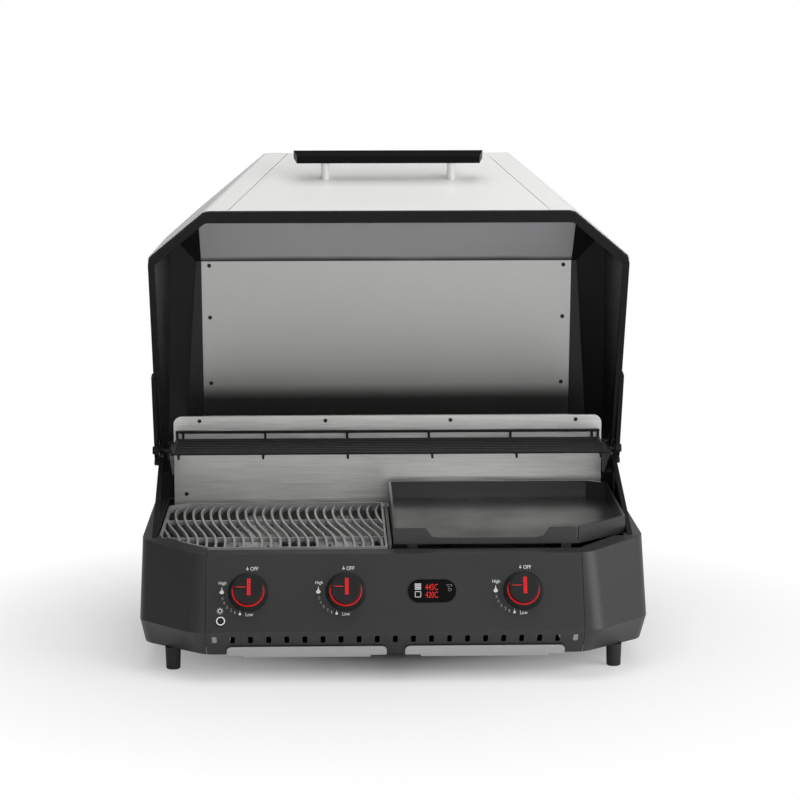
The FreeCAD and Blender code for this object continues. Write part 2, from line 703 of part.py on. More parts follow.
def centre_divider():
    half = DIVIDER_WIDTH / 2
    near = BOX_FRONT + SHEET
    far = BOX_REAR - SHEET
    wall = block(DIVIDER_X - 1, DIVIDER_X + 1, near, far, BOX_FLOOR_Z, DIVIDER_TOP_Z - 1)
    cap = block(DIVIDER_X - half, DIVIDER_X + half, near + RAIL_REACH + 1, far - RAIL_REACH - 1,
                DIVIDER_TOP_Z - SHEET, DIVIDER_TOP_Z)
    return fused([wall, cap])


def surface_outline(inner_x, inset):
    # The plan shared by the grate and the plate, drawn for the right-hand side.
    half = SURFACE_HALF - inset
    slip = inset * 0.41
    return [(inner_x + inset, SURFACE_FRONT + inset), (half - SURFACE_CHAMFER + slip, SURFACE_FRONT + inset),
            (half, SURFACE_FRONT + SURFACE_CHAMFER - slip + inset),
             (half, SURFACE_REAR - REAR_CHAMFER_Y - inset),
            (half - REAR_CHAMFER_X, SURFACE_REAR - inset), (inner_x + inset, SURFACE_REAR - inset)]


def grate_bar(x):
    # One curved bar: it turns back at the rear, runs diagonally between the rods and straightens in front.
    bottom = GRATE_BOTTOM_Z
    edges = []
    for side in (-BAR_WIDTH / 2, BAR_WIDTH / 2):
        curve = Part.BSplineCurve()
        points = [pt(x + shift + side, SURFACE_REAR - share * SURFACE_LENGTH, bottom)
                  for share, shift in BAR_STATIONS]
        curve.interpolate(points)
        edges.append(curve.toShape())
    rear_end = Part.makeLine(*[edge.valueAt(edge.FirstParameter) for edge in edges])
    front_end = Part.makeLine(*[edge.valueAt(edge.LastParameter) for edge in edges])
    face = Part.Face(Part.Wire([edges[0], front_end, edges[1], rear_end]))
    return face.extrude(V(0, 0, GRATE_HEIGHT - BAR_DROP))


def grill_grate():
    inner_x = -DIVIDER_X + SURFACE_GAP
    bottom = GRATE_BOTTOM_Z
    outline = [(-x, depth) for x, depth in surface_outline(inner_x, 0)]
    room = [(-x, depth) for x, depth in surface_outline(inner_x, GRATE_FRAME)]
    frame = prism_z(outline, bottom, GRATE_TOP_Z).cut(prism_z(room, bottom - 1, GRATE_TOP_Z + 1))
    window = prism_z(room, bottom, GRATE_TOP_Z)
    count = int((SURFACE_HALF + 40 - inner_x) / BAR_PITCH)
    bars = []
    for index in range(count):
        bar = grate_bar(-inner_x - BAR_START - index * BAR_PITCH)
        kept = bar.common(window)
        bars += kept.Solids
    for share in ROD_PLACES:
        depth = SURFACE_REAR - share * SURFACE_LENGTH
        top = GRATE_TOP_Z - BAR_DROP - ROD_DROP
        rung = block(-SURFACE_HALF, -inner_x, depth - ROD_WIDTH / 2, depth + ROD_WIDTH / 2, bottom, top)
        bars.append(rung.common(window))
    return fused([frame] + bars)


def plate_wall_top():
    # Profile of the wall tops: low at the front, higher at the rear.
    return [(SURFACE_FRONT - 10, PLATE_FRONT_TOP_Z), (SURFACE_REAR + 20, PLATE_REAR_TOP_Z),
            (SURFACE_REAR + 20, FAR_TOP), (SURFACE_FRONT - 10, FAR_TOP)]


def griddle_plate():
    inner_x = DIVIDER_X + SURFACE_GAP
    outer = prism_z(surface_outline(inner_x, 0), PLATE_BOTTOM_Z, PLATE_REAR_TOP_Z + 5)
    room = prism_z(surface_outline(inner_x, PLATE_WALL), PLATE_BOTTOM_Z + PLATE_FLOOR, PLATE_REAR_TOP_Z + 6)
    pan = outer.cut(room).cut(prism_x(plate_wall_top(), DIVIDER_X, FAR_SIDE))
    centre = (inner_x + SURFACE_HALF - SURFACE_CHAMFER) / 2 + 2
    low = PLATE_FRONT_TOP_Z - SPOUT_DROP
    points = [(-SPOUT_HALF - SPOUT_RAMP, PLATE_FRONT_TOP_Z + 6),
              (-SPOUT_HALF - SPOUT_RAMP, PLATE_FRONT_TOP_Z - 0.5),
              (-SPOUT_HALF - SPOUT_RAMP * 0.3, low + 2), (-SPOUT_HALF + 8, low), (SPOUT_HALF - 8, low),
              (SPOUT_HALF + SPOUT_RAMP * 0.3, low + 2), (SPOUT_HALF + SPOUT_RAMP, PLATE_FRONT_TOP_Z - 0.5),
              (SPOUT_HALF + SPOUT_RAMP, PLATE_FRONT_TOP_Z + 6)]
    ring = [pt(centre + x, SURFACE_FRONT - 3, z) for x, z in points]
    spout = Part.Face(Part.makePolygon(ring + ring[:1])).extrude(V(0, PLATE_WALL + 5, 0))
    corner_x = SURFACE_HALF - SURFACE_CHAMFER
    slit = block(corner_x - SLIT_WIDTH, corner_x, SURFACE_FRONT - 3, SURFACE_FRONT + PLATE_WALL + 1,
                 PLATE_BOTTOM_Z + PLATE_FLOOR, FAR_TOP)
    feet = []
    foot_bottom = RAIL_Z + MOVING_GAP
    for x in (inner_x + 30, SURFACE_HALF - SURFACE_CHAMFER - 20):
        for depth in (SURFACE_FRONT + 3, SURFACE_REAR - FOOT_LENGTH):
            feet.append(block(x - PLATE_FOOT / 2, x + PLATE_FOOT / 2, depth, depth + FOOT_LENGTH,
                              foot_bottom, PLATE_BOTTOM_Z))
    return fused([pan.cut(spout).cut(slit)] + feet)


def burner_tube(x):
    front = pt(x, BOX_FRONT - 2, BURNER_Z)
    tube = pipe(front, pt(x, BURNER_REAR, BURNER_Z), BURNER_RADIUS, BURNER_WALL)
    cap = rod(pt(x, BURNER_REAR - BURNER_WALL, BURNER_Z), pt(x, BURNER_REAR, BURNER_Z), BURNER_RADIUS)
    return fused([tube, cap])


def burner_ports(x, near, far):
    # Short slits along both flanks of a tube.
    cutters = []
    for index in range(int((far - near) / PORT_PITCH)):
        depth = near + index * PORT_PITCH
        cutters.append(block(x - BURNER_RADIUS - 1, x + BURNER_RADIUS + 1, depth, depth + PORT_LENGTH,
                             BURNER_Z + 4.0, BURNER_Z + 5.5))
    return Part.makeCompound(cutters)


def air_shutter(x):
    near = BOX_FRONT + 8
    wall = BURNER_WALL + 1
    return pipe(pt(x, near, BURNER_Z), pt(x, near + 18, BURNER_Z), BURNER_RADIUS + wall, wall)


def burner_leg(x):
    near = BURNER_REAR - 12
    return block(x - 10, x + 10, near, near + 4, BOX_FLOOR_Z, BURNER_Z - BURNER_RADIUS + 1)


def straight_burner(x):
    ports = burner_ports(x, BURNER_CROSS, BURNER_REAR - 10)
    return fused([burner_tube(x).cut(ports), burner_leg(x), air_shutter(x)])


def griddle_burner(x):
    # A feed tube with a cross tube and two legs, to heat the whole plate.
    radius = BURNER_RADIUS
    wall = BURNER_WALL
    front = pt(x, BOX_FRONT - 2, BURNER_Z)
    tee = pt(x, BURNER_CROSS, BURNER_Z)
    reach = V(BURNER_SPREAD, 0, 0)
    parts = [rod(front, tee, radius), rod(tee - reach, tee + reach, radius)]
    holes = [rod(front - V(0, 1, 0), tee, radius - wall), rod(tee - reach, tee + reach, radius - wall)]
    for side in (-1, 1):
        leg_x = x + side * BURNER_SPREAD
        near = BURNER_CROSS - radius
        parts.append(rod(pt(leg_x, near, BURNER_Z), pt(leg_x, BURNER_REAR, BURNER_Z), radius))
        start, end = pt(leg_x, near + wall, BURNER_Z), pt(leg_x, BURNER_REAR - wall, BURNER_Z)
        holes.append(rod(start, end, radius - wall))
        holes.append(burner_ports(leg_x, BURNER_CROSS + 30, BURNER_REAR - 10))
    shape = fused(parts)
    for hole in holes:
        shape = shape.cut(hole)
    legs = [burner_leg(x - BURNER_SPREAD), burner_leg(x + BURNER_SPREAD)]
    return fused([shape, air_shutter(x)] + legs)


def flame_tamer(x, half):
    # A folded roof over a burner, with slots in its slopes; its ends stand on seats in the firebox.
    rise = TAMER_RISE
    near = BOX_FRONT + SHEET + RUNNING_FIT
    far = BOX_REAR - SHEET - RUNNING_FIT
    ridge = half * 0.25
    outline = [(-half, 0), (-ridge, rise), (ridge, rise), (half, 0), (half - TAMER_SHEET, -TAMER_FOLD),
               (ridge - TAMER_FOLD, rise - TAMER_SHEET), (-ridge + TAMER_FOLD, rise - TAMER_SHEET),
               (-half + TAMER_SHEET, -TAMER_FOLD)]
    points = [pt(x + dx, near, TAMER_Z + dz) for dx, dz in outline]
    roof = Part.Face(Part.makePolygon(points + points[:1])).extrude(V(0, far - near, 0))
    cutters = []
    pitch = (far - near) / TAMER_SLOTS
    for index in range(TAMER_SLOTS):
        depth = near + (index + 0.25) * pitch
        for side in (-1, 1):
            middle = x + side * half * 0.62
            cutters.append(block(middle - 5, middle + 5, depth, depth + pitch / 2,
                                 TAMER_Z - 2, TAMER_Z + rise + 2))
    return roof.cut(Part.makeCompound(cutters))


def gas_manifold():
    centre = panel_point(0, CONTROL_ROW, -VALVE_REACH - MANIFOLD_RADIUS)
    start = V(KNOB_X[0] - MANIFOLD_BEFORE, centre.y, centre.z)
    end = V(KNOB_X[2] + MANIFOLD_PAST, centre.y, centre.z)
    return pipe(start, end, MANIFOLD_RADIUS, 1.5), end


def valve_body(x):
    barrel = Part.makeCylinder(VALVE_RADIUS, VALVE_REACH - SHEET - 0.5, V(0, 0, -VALVE_REACH))
    bore_end = V(0, 0, VALVE_END - VALVE_REACH)
    bore = Part.makeCylinder(PLUG_RADIUS + RUNNING_FIT, VALVE_REACH - VALVE_END, bore_end)
    body = on_panel(barrel, x, CONTROL_ROW).cut(on_panel(bore, x, CONTROL_ROW))
    heel = panel_point(x, CONTROL_ROW, -VALVE_REACH + 6)
    tip = V(x, pt(0, BOX_FRONT + 4, 0).y, BURNER_Z)
    start = V(x, heel.y + 4, BURNER_Z)
    nozzle = rod(start, tip, NOZZLE_RADIUS)
    elbow = rod(V(x, heel.y + 4, heel.z), V(x, heel.y + 4, BURNER_Z + NOZZLE_RADIUS), NOZZLE_RADIUS)
    bore_path = on_panel(bore, x, CONTROL_ROW)
    return fused([body, nozzle.cut(bore_path), elbow.cut(bore_path)])


def valve_plug(x):
    length = VALVE_REACH - VALVE_END - 2 * MOVING_GAP
    plug = Part.makeCylinder(PLUG_RADIUS, length, V(0, 0, VALVE_END - VALVE_REACH + MOVING_GAP))
    socket_end = V(0, 0, VALVE_END - VALVE_REACH + MOVING_GAP + PLUG_FLOOR)
    socket = Part.makeCylinder(STEM_RADIUS + RUNNING_FIT, length, socket_end)
    return on_panel(plug.cut(socket), x, CONTROL_ROW)


def valve_stem(x):
    foot = VALVE_END - VALVE_REACH + MOVING_GAP + PLUG_FLOOR + KNOB_PUSH + STEM_END_GAP
    stem = Part.makeCylinder(STEM_RADIUS, KNOB_FACE - STEM_TIP - foot, V(0, 0, foot))
    return on_panel(stem, x, CONTROL_ROW)


def knob_bezel(x):
    cone = Part.makeCone(BEZEL_RADIUS, BEZEL_TOP_RADIUS, BEZEL_HEIGHT, V(0, 0, 0))
    bore = Part.makeCylinder(RING_RADIUS, BEZEL_HEIGHT, V(0, 0, RING_BASE))
    hole = Part.makeCylinder(PLUG_RADIUS + 1, 20, V(0, 0, -5))
    return on_panel(cone.cut(bore).cut(hole), x, CONTROL_ROW)


def light_ring(x):
    outer = Part.makeCylinder(RING_RADIUS, RING_HEIGHT - RING_BASE, V(0, 0, RING_BASE))
    inner = Part.makeCylinder(KNOB_RADIUS + KNOB_CLEARANCE, RING_HEIGHT, V(0, 0, 1))
    return on_panel(outer.cut(inner), x, CONTROL_ROW)


def control_knob(x):
    low = RING_BASE + KNOB_PUSH + 1.5
    body = Part.makeCylinder(KNOB_RADIUS, KNOB_FACE - low, V(0, 0, low))
    top = [edge for edge in body.Edges
           if abs(edge.CenterOfMass.z - KNOB_FACE) < 0.01 and edge.Length > KNOB_RADIUS]
    body = body.makeChamfer(1.5, top)
    hollow = Part.makeCylinder(KNOB_RADIUS - KNOB_WALL, KNOB_FACE - 11, V(0, 0, 0))
    socket = Part.makeCylinder(STEM_RADIUS + 4, KNOB_FACE, V(0, 0, low))
    bore = Part.makeCylinder(STEM_RADIUS, KNOB_FACE - STEM_TIP, V(0, 0, 0))
    pointer = Part.makeBox(8, 1.6, 1.2, V(-KNOB_RADIUS + 2.5, -0.8, KNOB_FACE - 1.2))
    shape = body.cut(hollow.cut(socket)).cut(bore).cut(pointer)
    return on_panel(shape, x, CONTROL_ROW)


def display_housing():
    # The rim, the throat through the fascia and the sealed case behind it, with battery and igniter.
    length = DISPLAY_LENGTH
    height = DISPLAY_HEIGHT
    rim = slot_shape(length, height, height / 2 - 0.1, 0, 1.5)
    slack = 2 * DISPLAY_RIM + 2 * MOVING_GAP
    body = slot_shape(length - slack, height - slack, height / 2 - DISPLAY_RIM - 0.5, -CASE_BACK, 0)
    pocket_round = height / 2 - 1.5 * DISPLAY_RIM - 0.1
    pocket = slot_shape(length - 3 * DISPLAY_RIM, height - 3 * DISPLAY_RIM, pocket_round, -0.5, 5)
    case_corner = V(-CASE_LENGTH / 2, -CASE_HEIGHT / 2, -CASE_BACK - CASE_DEPTH)
    case = Part.makeBox(CASE_LENGTH, CASE_HEIGHT, CASE_DEPTH, case_corner)
    return on_panel(fused([rim, body, case]).cut(pocket), DISPLAY_X, CONTROL_ROW)


def display_window():
    glass = slot_shape(DISPLAY_LENGTH - 3 * DISPLAY_RIM - 0.1, DISPLAY_HEIGHT - 3 * DISPLAY_RIM - 0.1,
                       DISPLAY_HEIGHT / 2 - 1.5 * DISPLAY_RIM - 0.2, -0.5, 1.3)
    return on_panel(glass, DISPLAY_X, CONTROL_ROW)


def light_button():
    # A cap with a raised ring round a dished centre, kept from falling out by a flange behind the sheet.
    cap = Part.makeCylinder(BUTTON_RADIUS, BUTTON_HEIGHT + SHEET + 4, V(0, 0, -SHEET - 4))
    dish = Part.makeCylinder(BUTTON_RADIUS - 1.6, 2, V(0, 0, BUTTON_HEIGHT - 0.6))
    flange = Part.makeCylinder(BUTTON_RADIUS + BUTTON_FLANGE, 1.5, V(0, 0, -SHEET - MOVING_GAP - 1.5))
    return on_panel(cap.cut(dish).fuse(flange), BUTTON_X, BUTTON_UP)


def electrodes():
    pins = []
    for x in KNOB_X:
        near = pt(x + ELECTRODE_SIDE, BOX_FRONT - 14, BURNER_Z + ELECTRODE_RISE)
        pins.append(rod(near, near + V(0, ELECTRODE_LENGTH, 0), ELECTRODE_RADIUS))
    return pins


def band_depth(z):
    # Depth of the lower front band at a height.
    return (CREASE_Z - z) * BAND_SLOPE


def tray_plate(centre):
    # The tray's face: round top corners and a lip below, lying just in front of the band.
    low, mid, top = TRAY_LIP_Z, TRAY_PLATE_LOW_Z, TRAY_PLATE_TOP_Z
    near = -TRAY_PLATE_OUT - TRAY_PLATE
    sheet = prism_x([(band_depth(top) - TRAY_PLATE_OUT, top), (band_depth(low) - TRAY_PLATE_OUT, low),
                     (band_depth(low) + near, low), (band_depth(top) + near, top)], -FAR_SIDE, FAR_SIDE)
    lip = TRAY_LIP_WIDTH / 2
    wide = TRAY_PLATE_WIDTH / 2
    outline = [(-lip, low), (lip, low), (lip, mid), (wide, mid),
               (wide, top), (-wide, top), (-wide, mid), (-lip, mid)]
    radii = [2, 2, 1, 2, TRAY_PLATE_CORNER, TRAY_PLATE_CORNER, 2, 1]
    face = Part.Face(rounded_wire([pt(centre + x, FAR_FRONT, z) for x, z in outline], radii))
    return sheet.common(face.extrude(V(0, FAR_REAR, 0)))


def drip_tray(centre):
    half = TRAY_WIDTH / 2
    wall = TRAY_SHEET
    pan = block(centre - half, centre + half, TRAY_FRONT, TRAY_REAR, TRAY_BOTTOM_Z, TRAY_TOP_Z)
    room = block(centre - half + wall, centre + half - wall, TRAY_FRONT + wall, TRAY_REAR - wall,
                 TRAY_BOTTOM_Z + wall, TRAY_TOP_Z + 1)
    low = TRAY_BOTTOM_Z
    near = band_depth(low + wall) - TRAY_PLATE_OUT - 1
    bridge = block(centre - half, centre + half, near, TRAY_FRONT + wall, low, low + wall)
    return fused([pan.cut(room), tray_plate(centre), bridge])


def tray_rails():
    rails = []
    for centre in TRAY_CENTRES:
        for side in (-1, 1):
            edge = TRAY_WIDTH / 2
            inner = centre + side * (edge + RAIL_SIDE_GAP)
            outer = centre + side * (edge + RAIL_SIDE_GAP + SHEET)
            foot = centre + side * (edge - RAIL_WIDTH)
            near = TRAY_FRONT + 14
            far = TRAY_REAR + 4
            top = TRAY_BOTTOM_Z - MOVING_GAP
            upright = block(min(inner, outer), max(inner, outer), near, far, top - SHEET, FLOOR_PAN_Z - SHEET)
            shelf = block(min(foot, outer), max(foot, outer), near, far, top - SHEET, top)
            rails.append(fused([upright, shelf]))
    return rails


def feet():
    # Round pads below the housing's lower edge, each on a stud up to the floor pan.
    pads = []
    pad_top = BOTTOM_Z - 0.5
    for depth in FOOT_DEPTHS:
        for side in (-1, 1):
            base = pt(side * FOOT_X, depth, 0)
            pad = Part.makeCone(FOOT_RADIUS, FOOT_TOP_RADIUS, pad_top, base)
            bottom = [edge for edge in pad.Edges
                      if edge.CenterOfMass.z < 0.01 and edge.Length > FOOT_RADIUS * 3]
            pad = pad.makeChamfer(1.2, bottom)
            stud = rod(base + V(0, 0, pad_top - 1), base + V(0, 0, FLOOR_PAN_Z - SHEET), FOOT_STUD)
            pads.append(fused([pad, stud]))
    return pads


def back_panel():
    sheet = block(-BACK_HALF, BACK_HALF, BACK_DEPTH, BACK_DEPTH + SHEET, BOX_TOP_Z, BACK_TOP_Z)
    flange = block(-BACK_HALF, BACK_HALF, BACK_DEPTH, BACK_DEPTH + BACK_FLANGE, BACK_TOP_Z - SHEET, BACK_TOP_Z)
    shape = fused([sheet, flange])
    edge = BACK_HALF
    for side in (-1, 1):
        shape = shape.cut(corner_cut(side * edge, side))
    foot = block(-BACK_HALF, BACK_HALF, BOX_REAR - SHEET, BACK_DEPTH + SHEET, BOX_TOP_Z, BOX_TOP_Z + SHEET)
    return fused([shape, foot])


def corner_cut(x, side):
    square = block(min(x, x - side * BACK_CORNER), max(x, x - side * BACK_CORNER), BACK_DEPTH - 2,
                   BACK_DEPTH + BACK_FLANGE + 2, BACK_TOP_Z - BACK_CORNER, BACK_TOP_Z + 1)
    centre = pt(x - side * BACK_CORNER, BACK_DEPTH - 3, BACK_TOP_Z - BACK_CORNER)
    return square.cut(Part.makeCylinder(BACK_CORNER, 30, centre, Y_AXIS))


def cheek_face(depth):
    # Half width at the outer face of the splayed cheek.
    return CHEEK_HALF + CHEEK_SPLAY * (depth - CHEEK_FRONT) / (HINGE_DEPTH - CHEEK_FRONT)


def cheek(side):
    # A side plate that follows the closed lid's rim and carries the hinge pin; splayed out to the rear.
    low = TOP_Z - 5
    shoulder = HINGE_DEPTH - 10
    rear = HINGE_DEPTH + CHEEK_END_RADIUS
    profile = [(CHEEK_FRONT, low), (CHEEK_FRONT, parting_z(CHEEK_FRONT)), (shoulder, parting_z(shoulder)),
               (HINGE_DEPTH, HINGE_Z), (rear, HINGE_Z), (rear, low)]
    plate = prism_x(profile, CHEEK_HALF - SHEET, CHEEK_HALF)
    eye = Part.makeCylinder(CHEEK_END_RADIUS, SHEET, pt(CHEEK_HALF - SHEET, HINGE_DEPTH, HINGE_Z), X_AXIS)
    flange_rear = HINGE_DEPTH - 30
    flange_profile = [(CHEEK_FRONT, parting_z(CHEEK_FRONT)), (flange_rear, parting_z(flange_rear)),
                      (flange_rear, parting_z(flange_rear) - SHEET),
                       (CHEEK_FRONT, parting_z(CHEEK_FRONT) - SHEET)]
    flange = prism_x(flange_profile, CHEEK_HALF - CHEEK_FLANGE, CHEEK_HALF)
    shape = fused([plate, eye, flange])
    splay = math.degrees(math.atan2(CHEEK_SPLAY, HINGE_DEPTH - CHEEK_FRONT))
    shape.rotate(pt(CHEEK_HALF, CHEEK_FRONT, 0), Z_AXIS, -splay)
    shape = fused([shape, stop_stud()]).cut(block(0, FAR_SIDE, 0, FAR_REAR, 0, TOP_Z))
    shape = shape.cut(rod(pt(0, HINGE_DEPTH, HINGE_Z), pt(FAR_SIDE, HINGE_DEPTH, HINGE_Z), PIN_RADIUS))
    return shape if side > 0 else mirrored(shape)


def stop_stud():
    # A pressed stud that meets the hinge arm's heel and holds the lid open.
    depth = HINGE_DEPTH - HEEL_WIDTH / 2 - STOP_RADIUS - MOVING_GAP
    z = HINGE_Z - HEEL_REACH + STOP_RADIUS + 2
    return rod(pt(cheek_face(depth) - 1, depth, z), pt(ARM_INNER + ARM_THICK, depth, z), STOP_RADIUS)


def opened(shape):
    # Turns a lid piece from the closed position to the open rest pose.
    turned = shape.copy()
    turned.rotate(pt(0, HINGE_DEPTH, HINGE_Z), X_AXIS, -OPEN_ANGLE)
    return turned


def hood_planes():
    # Three points on each plane of the hood's outside, in the closed position.
    rim_z = parting_z(RIM_FRONT) + LID_GAP + RIM_HEIGHT
    side_z = parting_z(RIM_SIDE_DEPTH) + LID_GAP + RIM_HEIGHT
    hinge_z = parting_z(HINGE_DEPTH) + LID_GAP + RIM_HEIGHT
    front = [(0, RIM_FRONT, rim_z), (100, RIM_FRONT, rim_z), (0, RIDGE_DEPTH, RIDGE_Z)]
    crown = [(0, RIDGE_DEPTH, RIDGE_Z), (100, RIDGE_DEPTH, RIDGE_Z), (0, CROWN_REAR, CROWN_REAR_Z)]
    rear = [(0, CROWN_REAR, CROWN_REAR_Z), (100, CROWN_REAR, CROWN_REAR_Z), (0, HOOD_REAR, HOOD_REAR_Z)]
    corner = [(RIM_HALF, RIM_SIDE_DEPTH, side_z), (RIM_FRONT_HALF, RIM_FRONT, rim_z),
              (RIDGE_HALF, RIDGE_DEPTH, RIDGE_Z)]
    middle = REAR_DEPTH / 2
    side = [(RIM_HALF, RIM_SIDE_DEPTH, side_z), (RIM_HALF, HINGE_DEPTH, hinge_z),
            (SHOULDER_HALF, middle, SHOULDER_Z)]
    bevel = [(SHOULDER_HALF, 0, SHOULDER_Z), (SHOULDER_HALF, middle, SHOULDER_Z),
             (CROWN_HALF, middle, CROWN_Z)]
    return front, crown, rear, corner, side, bevel


def half_space(points, inset, inside):
    # A large block on the outer side of a plane, to cut away from a solid.
    a, b, c = [pt(*point) for point in points]
    normal = (b - a).cross(c - a).normalize()
    if normal.dot(inside - a) > 0:
        normal = normal * -1
    base = a - normal * inset
    reach = 4 * FAR_SIDE
    slab = Part.makeBox(reach, reach, reach, V(-reach / 2, -reach / 2, 0))
    slab.Placement = FreeCAD.Placement(base, FreeCAD.Rotation(Z_AXIS, normal))
    return slab


def convex(planes, insets):
    inside = pt(0, REAR_DEPTH / 2, (HINGE_Z + RIDGE_Z) / 2)
    solid = block(-FAR_SIDE, FAR_SIDE, FAR_FRONT, FAR_REAR, HOOD_BASE_Z, FAR_TOP)
    for points, inset in zip(planes, insets):
        solid = solid.cut(half_space(points, inset, inside))
        if points[0][0] > 0:
            flipped = [(-x, depth, z) for x, depth, z in points]
            solid = solid.cut(half_space(flipped, inset, inside))
    return solid


def hood_solid(inset, round_off):
    insets = [inset, inset, inset, inset - HOOD_PROUD, inset, inset]
    solid = convex(hood_planes(), insets)
    edges = []
    for edge in solid.Edges:
        low = min(vertex.Point.z for vertex in edge.Vertexes)
        if low > HOOD_BASE_Z + 1 or abs(edge.tangentAt(edge.FirstParameter).z) > 0.3:
            edges.append(edge)
    return solid.makeFillet(round_off, edges)


def lid_trim(low):
    # What lies below the hood's lower edge, along the parting line.
    return prism_x([(FAR_FRONT, 0), (FAR_REAR, 0), (FAR_REAR, parting_z(FAR_REAR) + low),
                    (TOP_SIDE_DEPTH, TOP_Z + low), (FAR_FRONT, parting_z(FAR_FRONT) + low)],
                    -FAR_SIDE, FAR_SIDE)


def hood_pieces():
    outer = hood_solid(0, HOOD_ROUND)
    inner = hood_solid(HOOD_SHEET, HOOD_ROUND - HOOD_SHEET)
    low = LID_GAP + RIM_HEIGHT
    shell = outer.cut(inner).cut(lid_trim(low))
    planes = hood_planes()
    core = convex(planes, [-CAP_WRAP] * 3 + [CAP_WRAP] * 3)
    middle = shell.common(core)
    gap_core = convex(planes, [-CAP_WRAP] * 3 + [CAP_WRAP - SEAM] * 3)
    cap = shell.cut(gap_core).common(block(0, FAR_SIDE, FAR_FRONT, FAR_REAR, 0, FAR_TOP))
    return middle, mirrored(cap), cap


def liner_planes():
    front, crown, rear, corner, side, bevel = hood_planes()
    fold = [(0, LINER_FOLD_DEPTH, LINER_FOLD_Z), (100, LINER_FOLD_DEPTH, LINER_FOLD_Z)]
    top = fold + [(0, BOX_REAR, LINER_REAR_Z)]
    strip = fold + [(0, RIM_FRONT, LINER_NOSE_Z)]
    return [front, top, strip, rear, corner, side, bevel]


def liner_pieces():
    planes = liner_planes()
    gap = LINER_GAP
    outer = convex(planes, [gap, 0, 0, gap, gap, gap, gap])
    skin = gap + LINER_SHEET
    inner = convex(planes, [skin, LINER_SHEET, LINER_SHEET, skin, skin, skin, skin])
    low = LID_GAP + RIM_HEIGHT
    shell = outer.cut(inner).cut(lid_trim(low))
    seam = SEAM / 2
    middle = LINER_HALF - seam
    fold = LINER_FOLD_DEPTH
    front = shell.common(block(-middle, middle, FAR_FRONT, fold - seam, 0, FAR_TOP))
    top = shell.common(block(-middle, middle, fold + seam, FAR_REAR, 0, FAR_TOP))
    right = shell.common(block(LINER_HALF + seam, FAR_SIDE, FAR_FRONT, FAR_REAR, 0, FAR_TOP))
    return front, top, mirrored(right), right


def lid_rim():
    # The black frame that closes the hood's lower edge, open at the rear.
    rear = HINGE_DEPTH - RIM_TO_PIN
    outer = [pt(-RIM_HALF, rear, 0), pt(-RIM_HALF, RIM_SIDE_DEPTH, 0), pt(-RIM_FRONT_HALF, RIM_FRONT, 0),
             pt(RIM_FRONT_HALF, RIM_FRONT, 0), pt(RIM_HALF, RIM_SIDE_DEPTH, 0), pt(RIM_HALF, rear, 0)]
    side_x = RIM_HALF - RIM_SIDE_WIDTH
    inner_front = RIM_FRONT + RIM_FRONT_WIDTH
    chamfer = math.atan2(RIM_SIDE_DEPTH - RIM_FRONT, RIM_HALF - RIM_FRONT_HALF)
    shift = V(-math.sin(chamfer), math.cos(chamfer), 0) * RIM_CHAMFER_WIDTH
    start = pt(RIM_FRONT_HALF, RIM_FRONT, 0) + shift
    along = V(math.cos(chamfer), math.sin(chamfer), 0)
    front_hit = start + along * ((pt(0, inner_front, 0).y - start.y) / along.y)
    side_hit = start + along * ((side_x - start.x) / along.x)
    inner = [pt(-side_x, rear + 1, 0), V(-side_x, side_hit.y, 0), V(-front_hit.x, front_hit.y, 0),
             V(front_hit.x, front_hit.y, 0), V(side_x, side_hit.y, 0), pt(side_x, rear + 1, 0)]
    tall = V(0, 0, FAR_TOP)
    ring = Part.Face(rounded_wire(outer, [2] + [RIM_BEND] * 4 + [2])).extrude(tall)
    hole = Part.Face(rounded_wire(inner, [2] + [RIM_INNER_BEND] * 4 + [2])).extrude(tall)
    band = prism_x(band_above(FAR_FRONT, FAR_REAR, LID_GAP, LID_GAP + RIM_HEIGHT), -FAR_SIDE, FAR_SIDE)
    rim = ring.cut(hole).common(band)
    for side in (-1, 1):
        low, high = pair(RIM_HALF - RIM_INSET, FAR_SIDE, side)
        rim = rim.cut(block(low, high, RIM_END_DEPTH, FAR_REAR, 0, FAR_TOP))
    return rim


def arm_shape(side):
    # The hinge arm outside the lid's rear corner: an eye on the pin, a bar along the rim and a stop heel.
    near = RIM_END_DEPTH + MOVING_GAP
    low = LID_GAP
    bar = [(near, parting_z(near) + low), (HINGE_DEPTH, HINGE_Z - EYE_RADIUS * 0.6),
           (HINGE_DEPTH, HINGE_Z + EYE_RADIUS),
           (HINGE_DEPTH - 30, parting_z(HINGE_DEPTH - 30) + low + ARM_HEIGHT),
           (near, parting_z(near) + low + ARM_HEIGHT)]
    plate = prism_x(bar, ARM_INNER, ARM_INNER + ARM_THICK)
    eye = Part.makeCylinder(EYE_RADIUS, ARM_THICK, pt(ARM_INNER, HINGE_DEPTH, HINGE_Z), X_AXIS)
    arm = opened(fused([plate, eye]))
    heel = block(ARM_INNER, ARM_INNER + ARM_THICK, HINGE_DEPTH - HEEL_WIDTH / 2, HINGE_DEPTH + HEEL_WIDTH / 2,
                 HINGE_Z - HEEL_REACH, HINGE_Z)
    bore = rod(pt(0, HINGE_DEPTH, HINGE_Z), pt(FAR_SIDE, HINGE_DEPTH, HINGE_Z), PIN_RADIUS + RUNNING_FIT)
    shape = fused([arm, heel]).cut(bore)
    return shape if side > 0 else mirrored(shape)


def arm_clearance():
    near = RIM_END_DEPTH
    bar = [(near, parting_z(near) - 5), (HINGE_DEPTH + 30, HINGE_Z - 30),
           (HINGE_DEPTH + 30, HINGE_Z + ARM_HEIGHT + 8),
           (near, parting_z(near) + LID_GAP + ARM_HEIGHT + 1)]
    right = prism_x(bar, ARM_INNER - 0.2, FAR_SIDE)
    return Part.makeCompound([right, mirrored(right)])


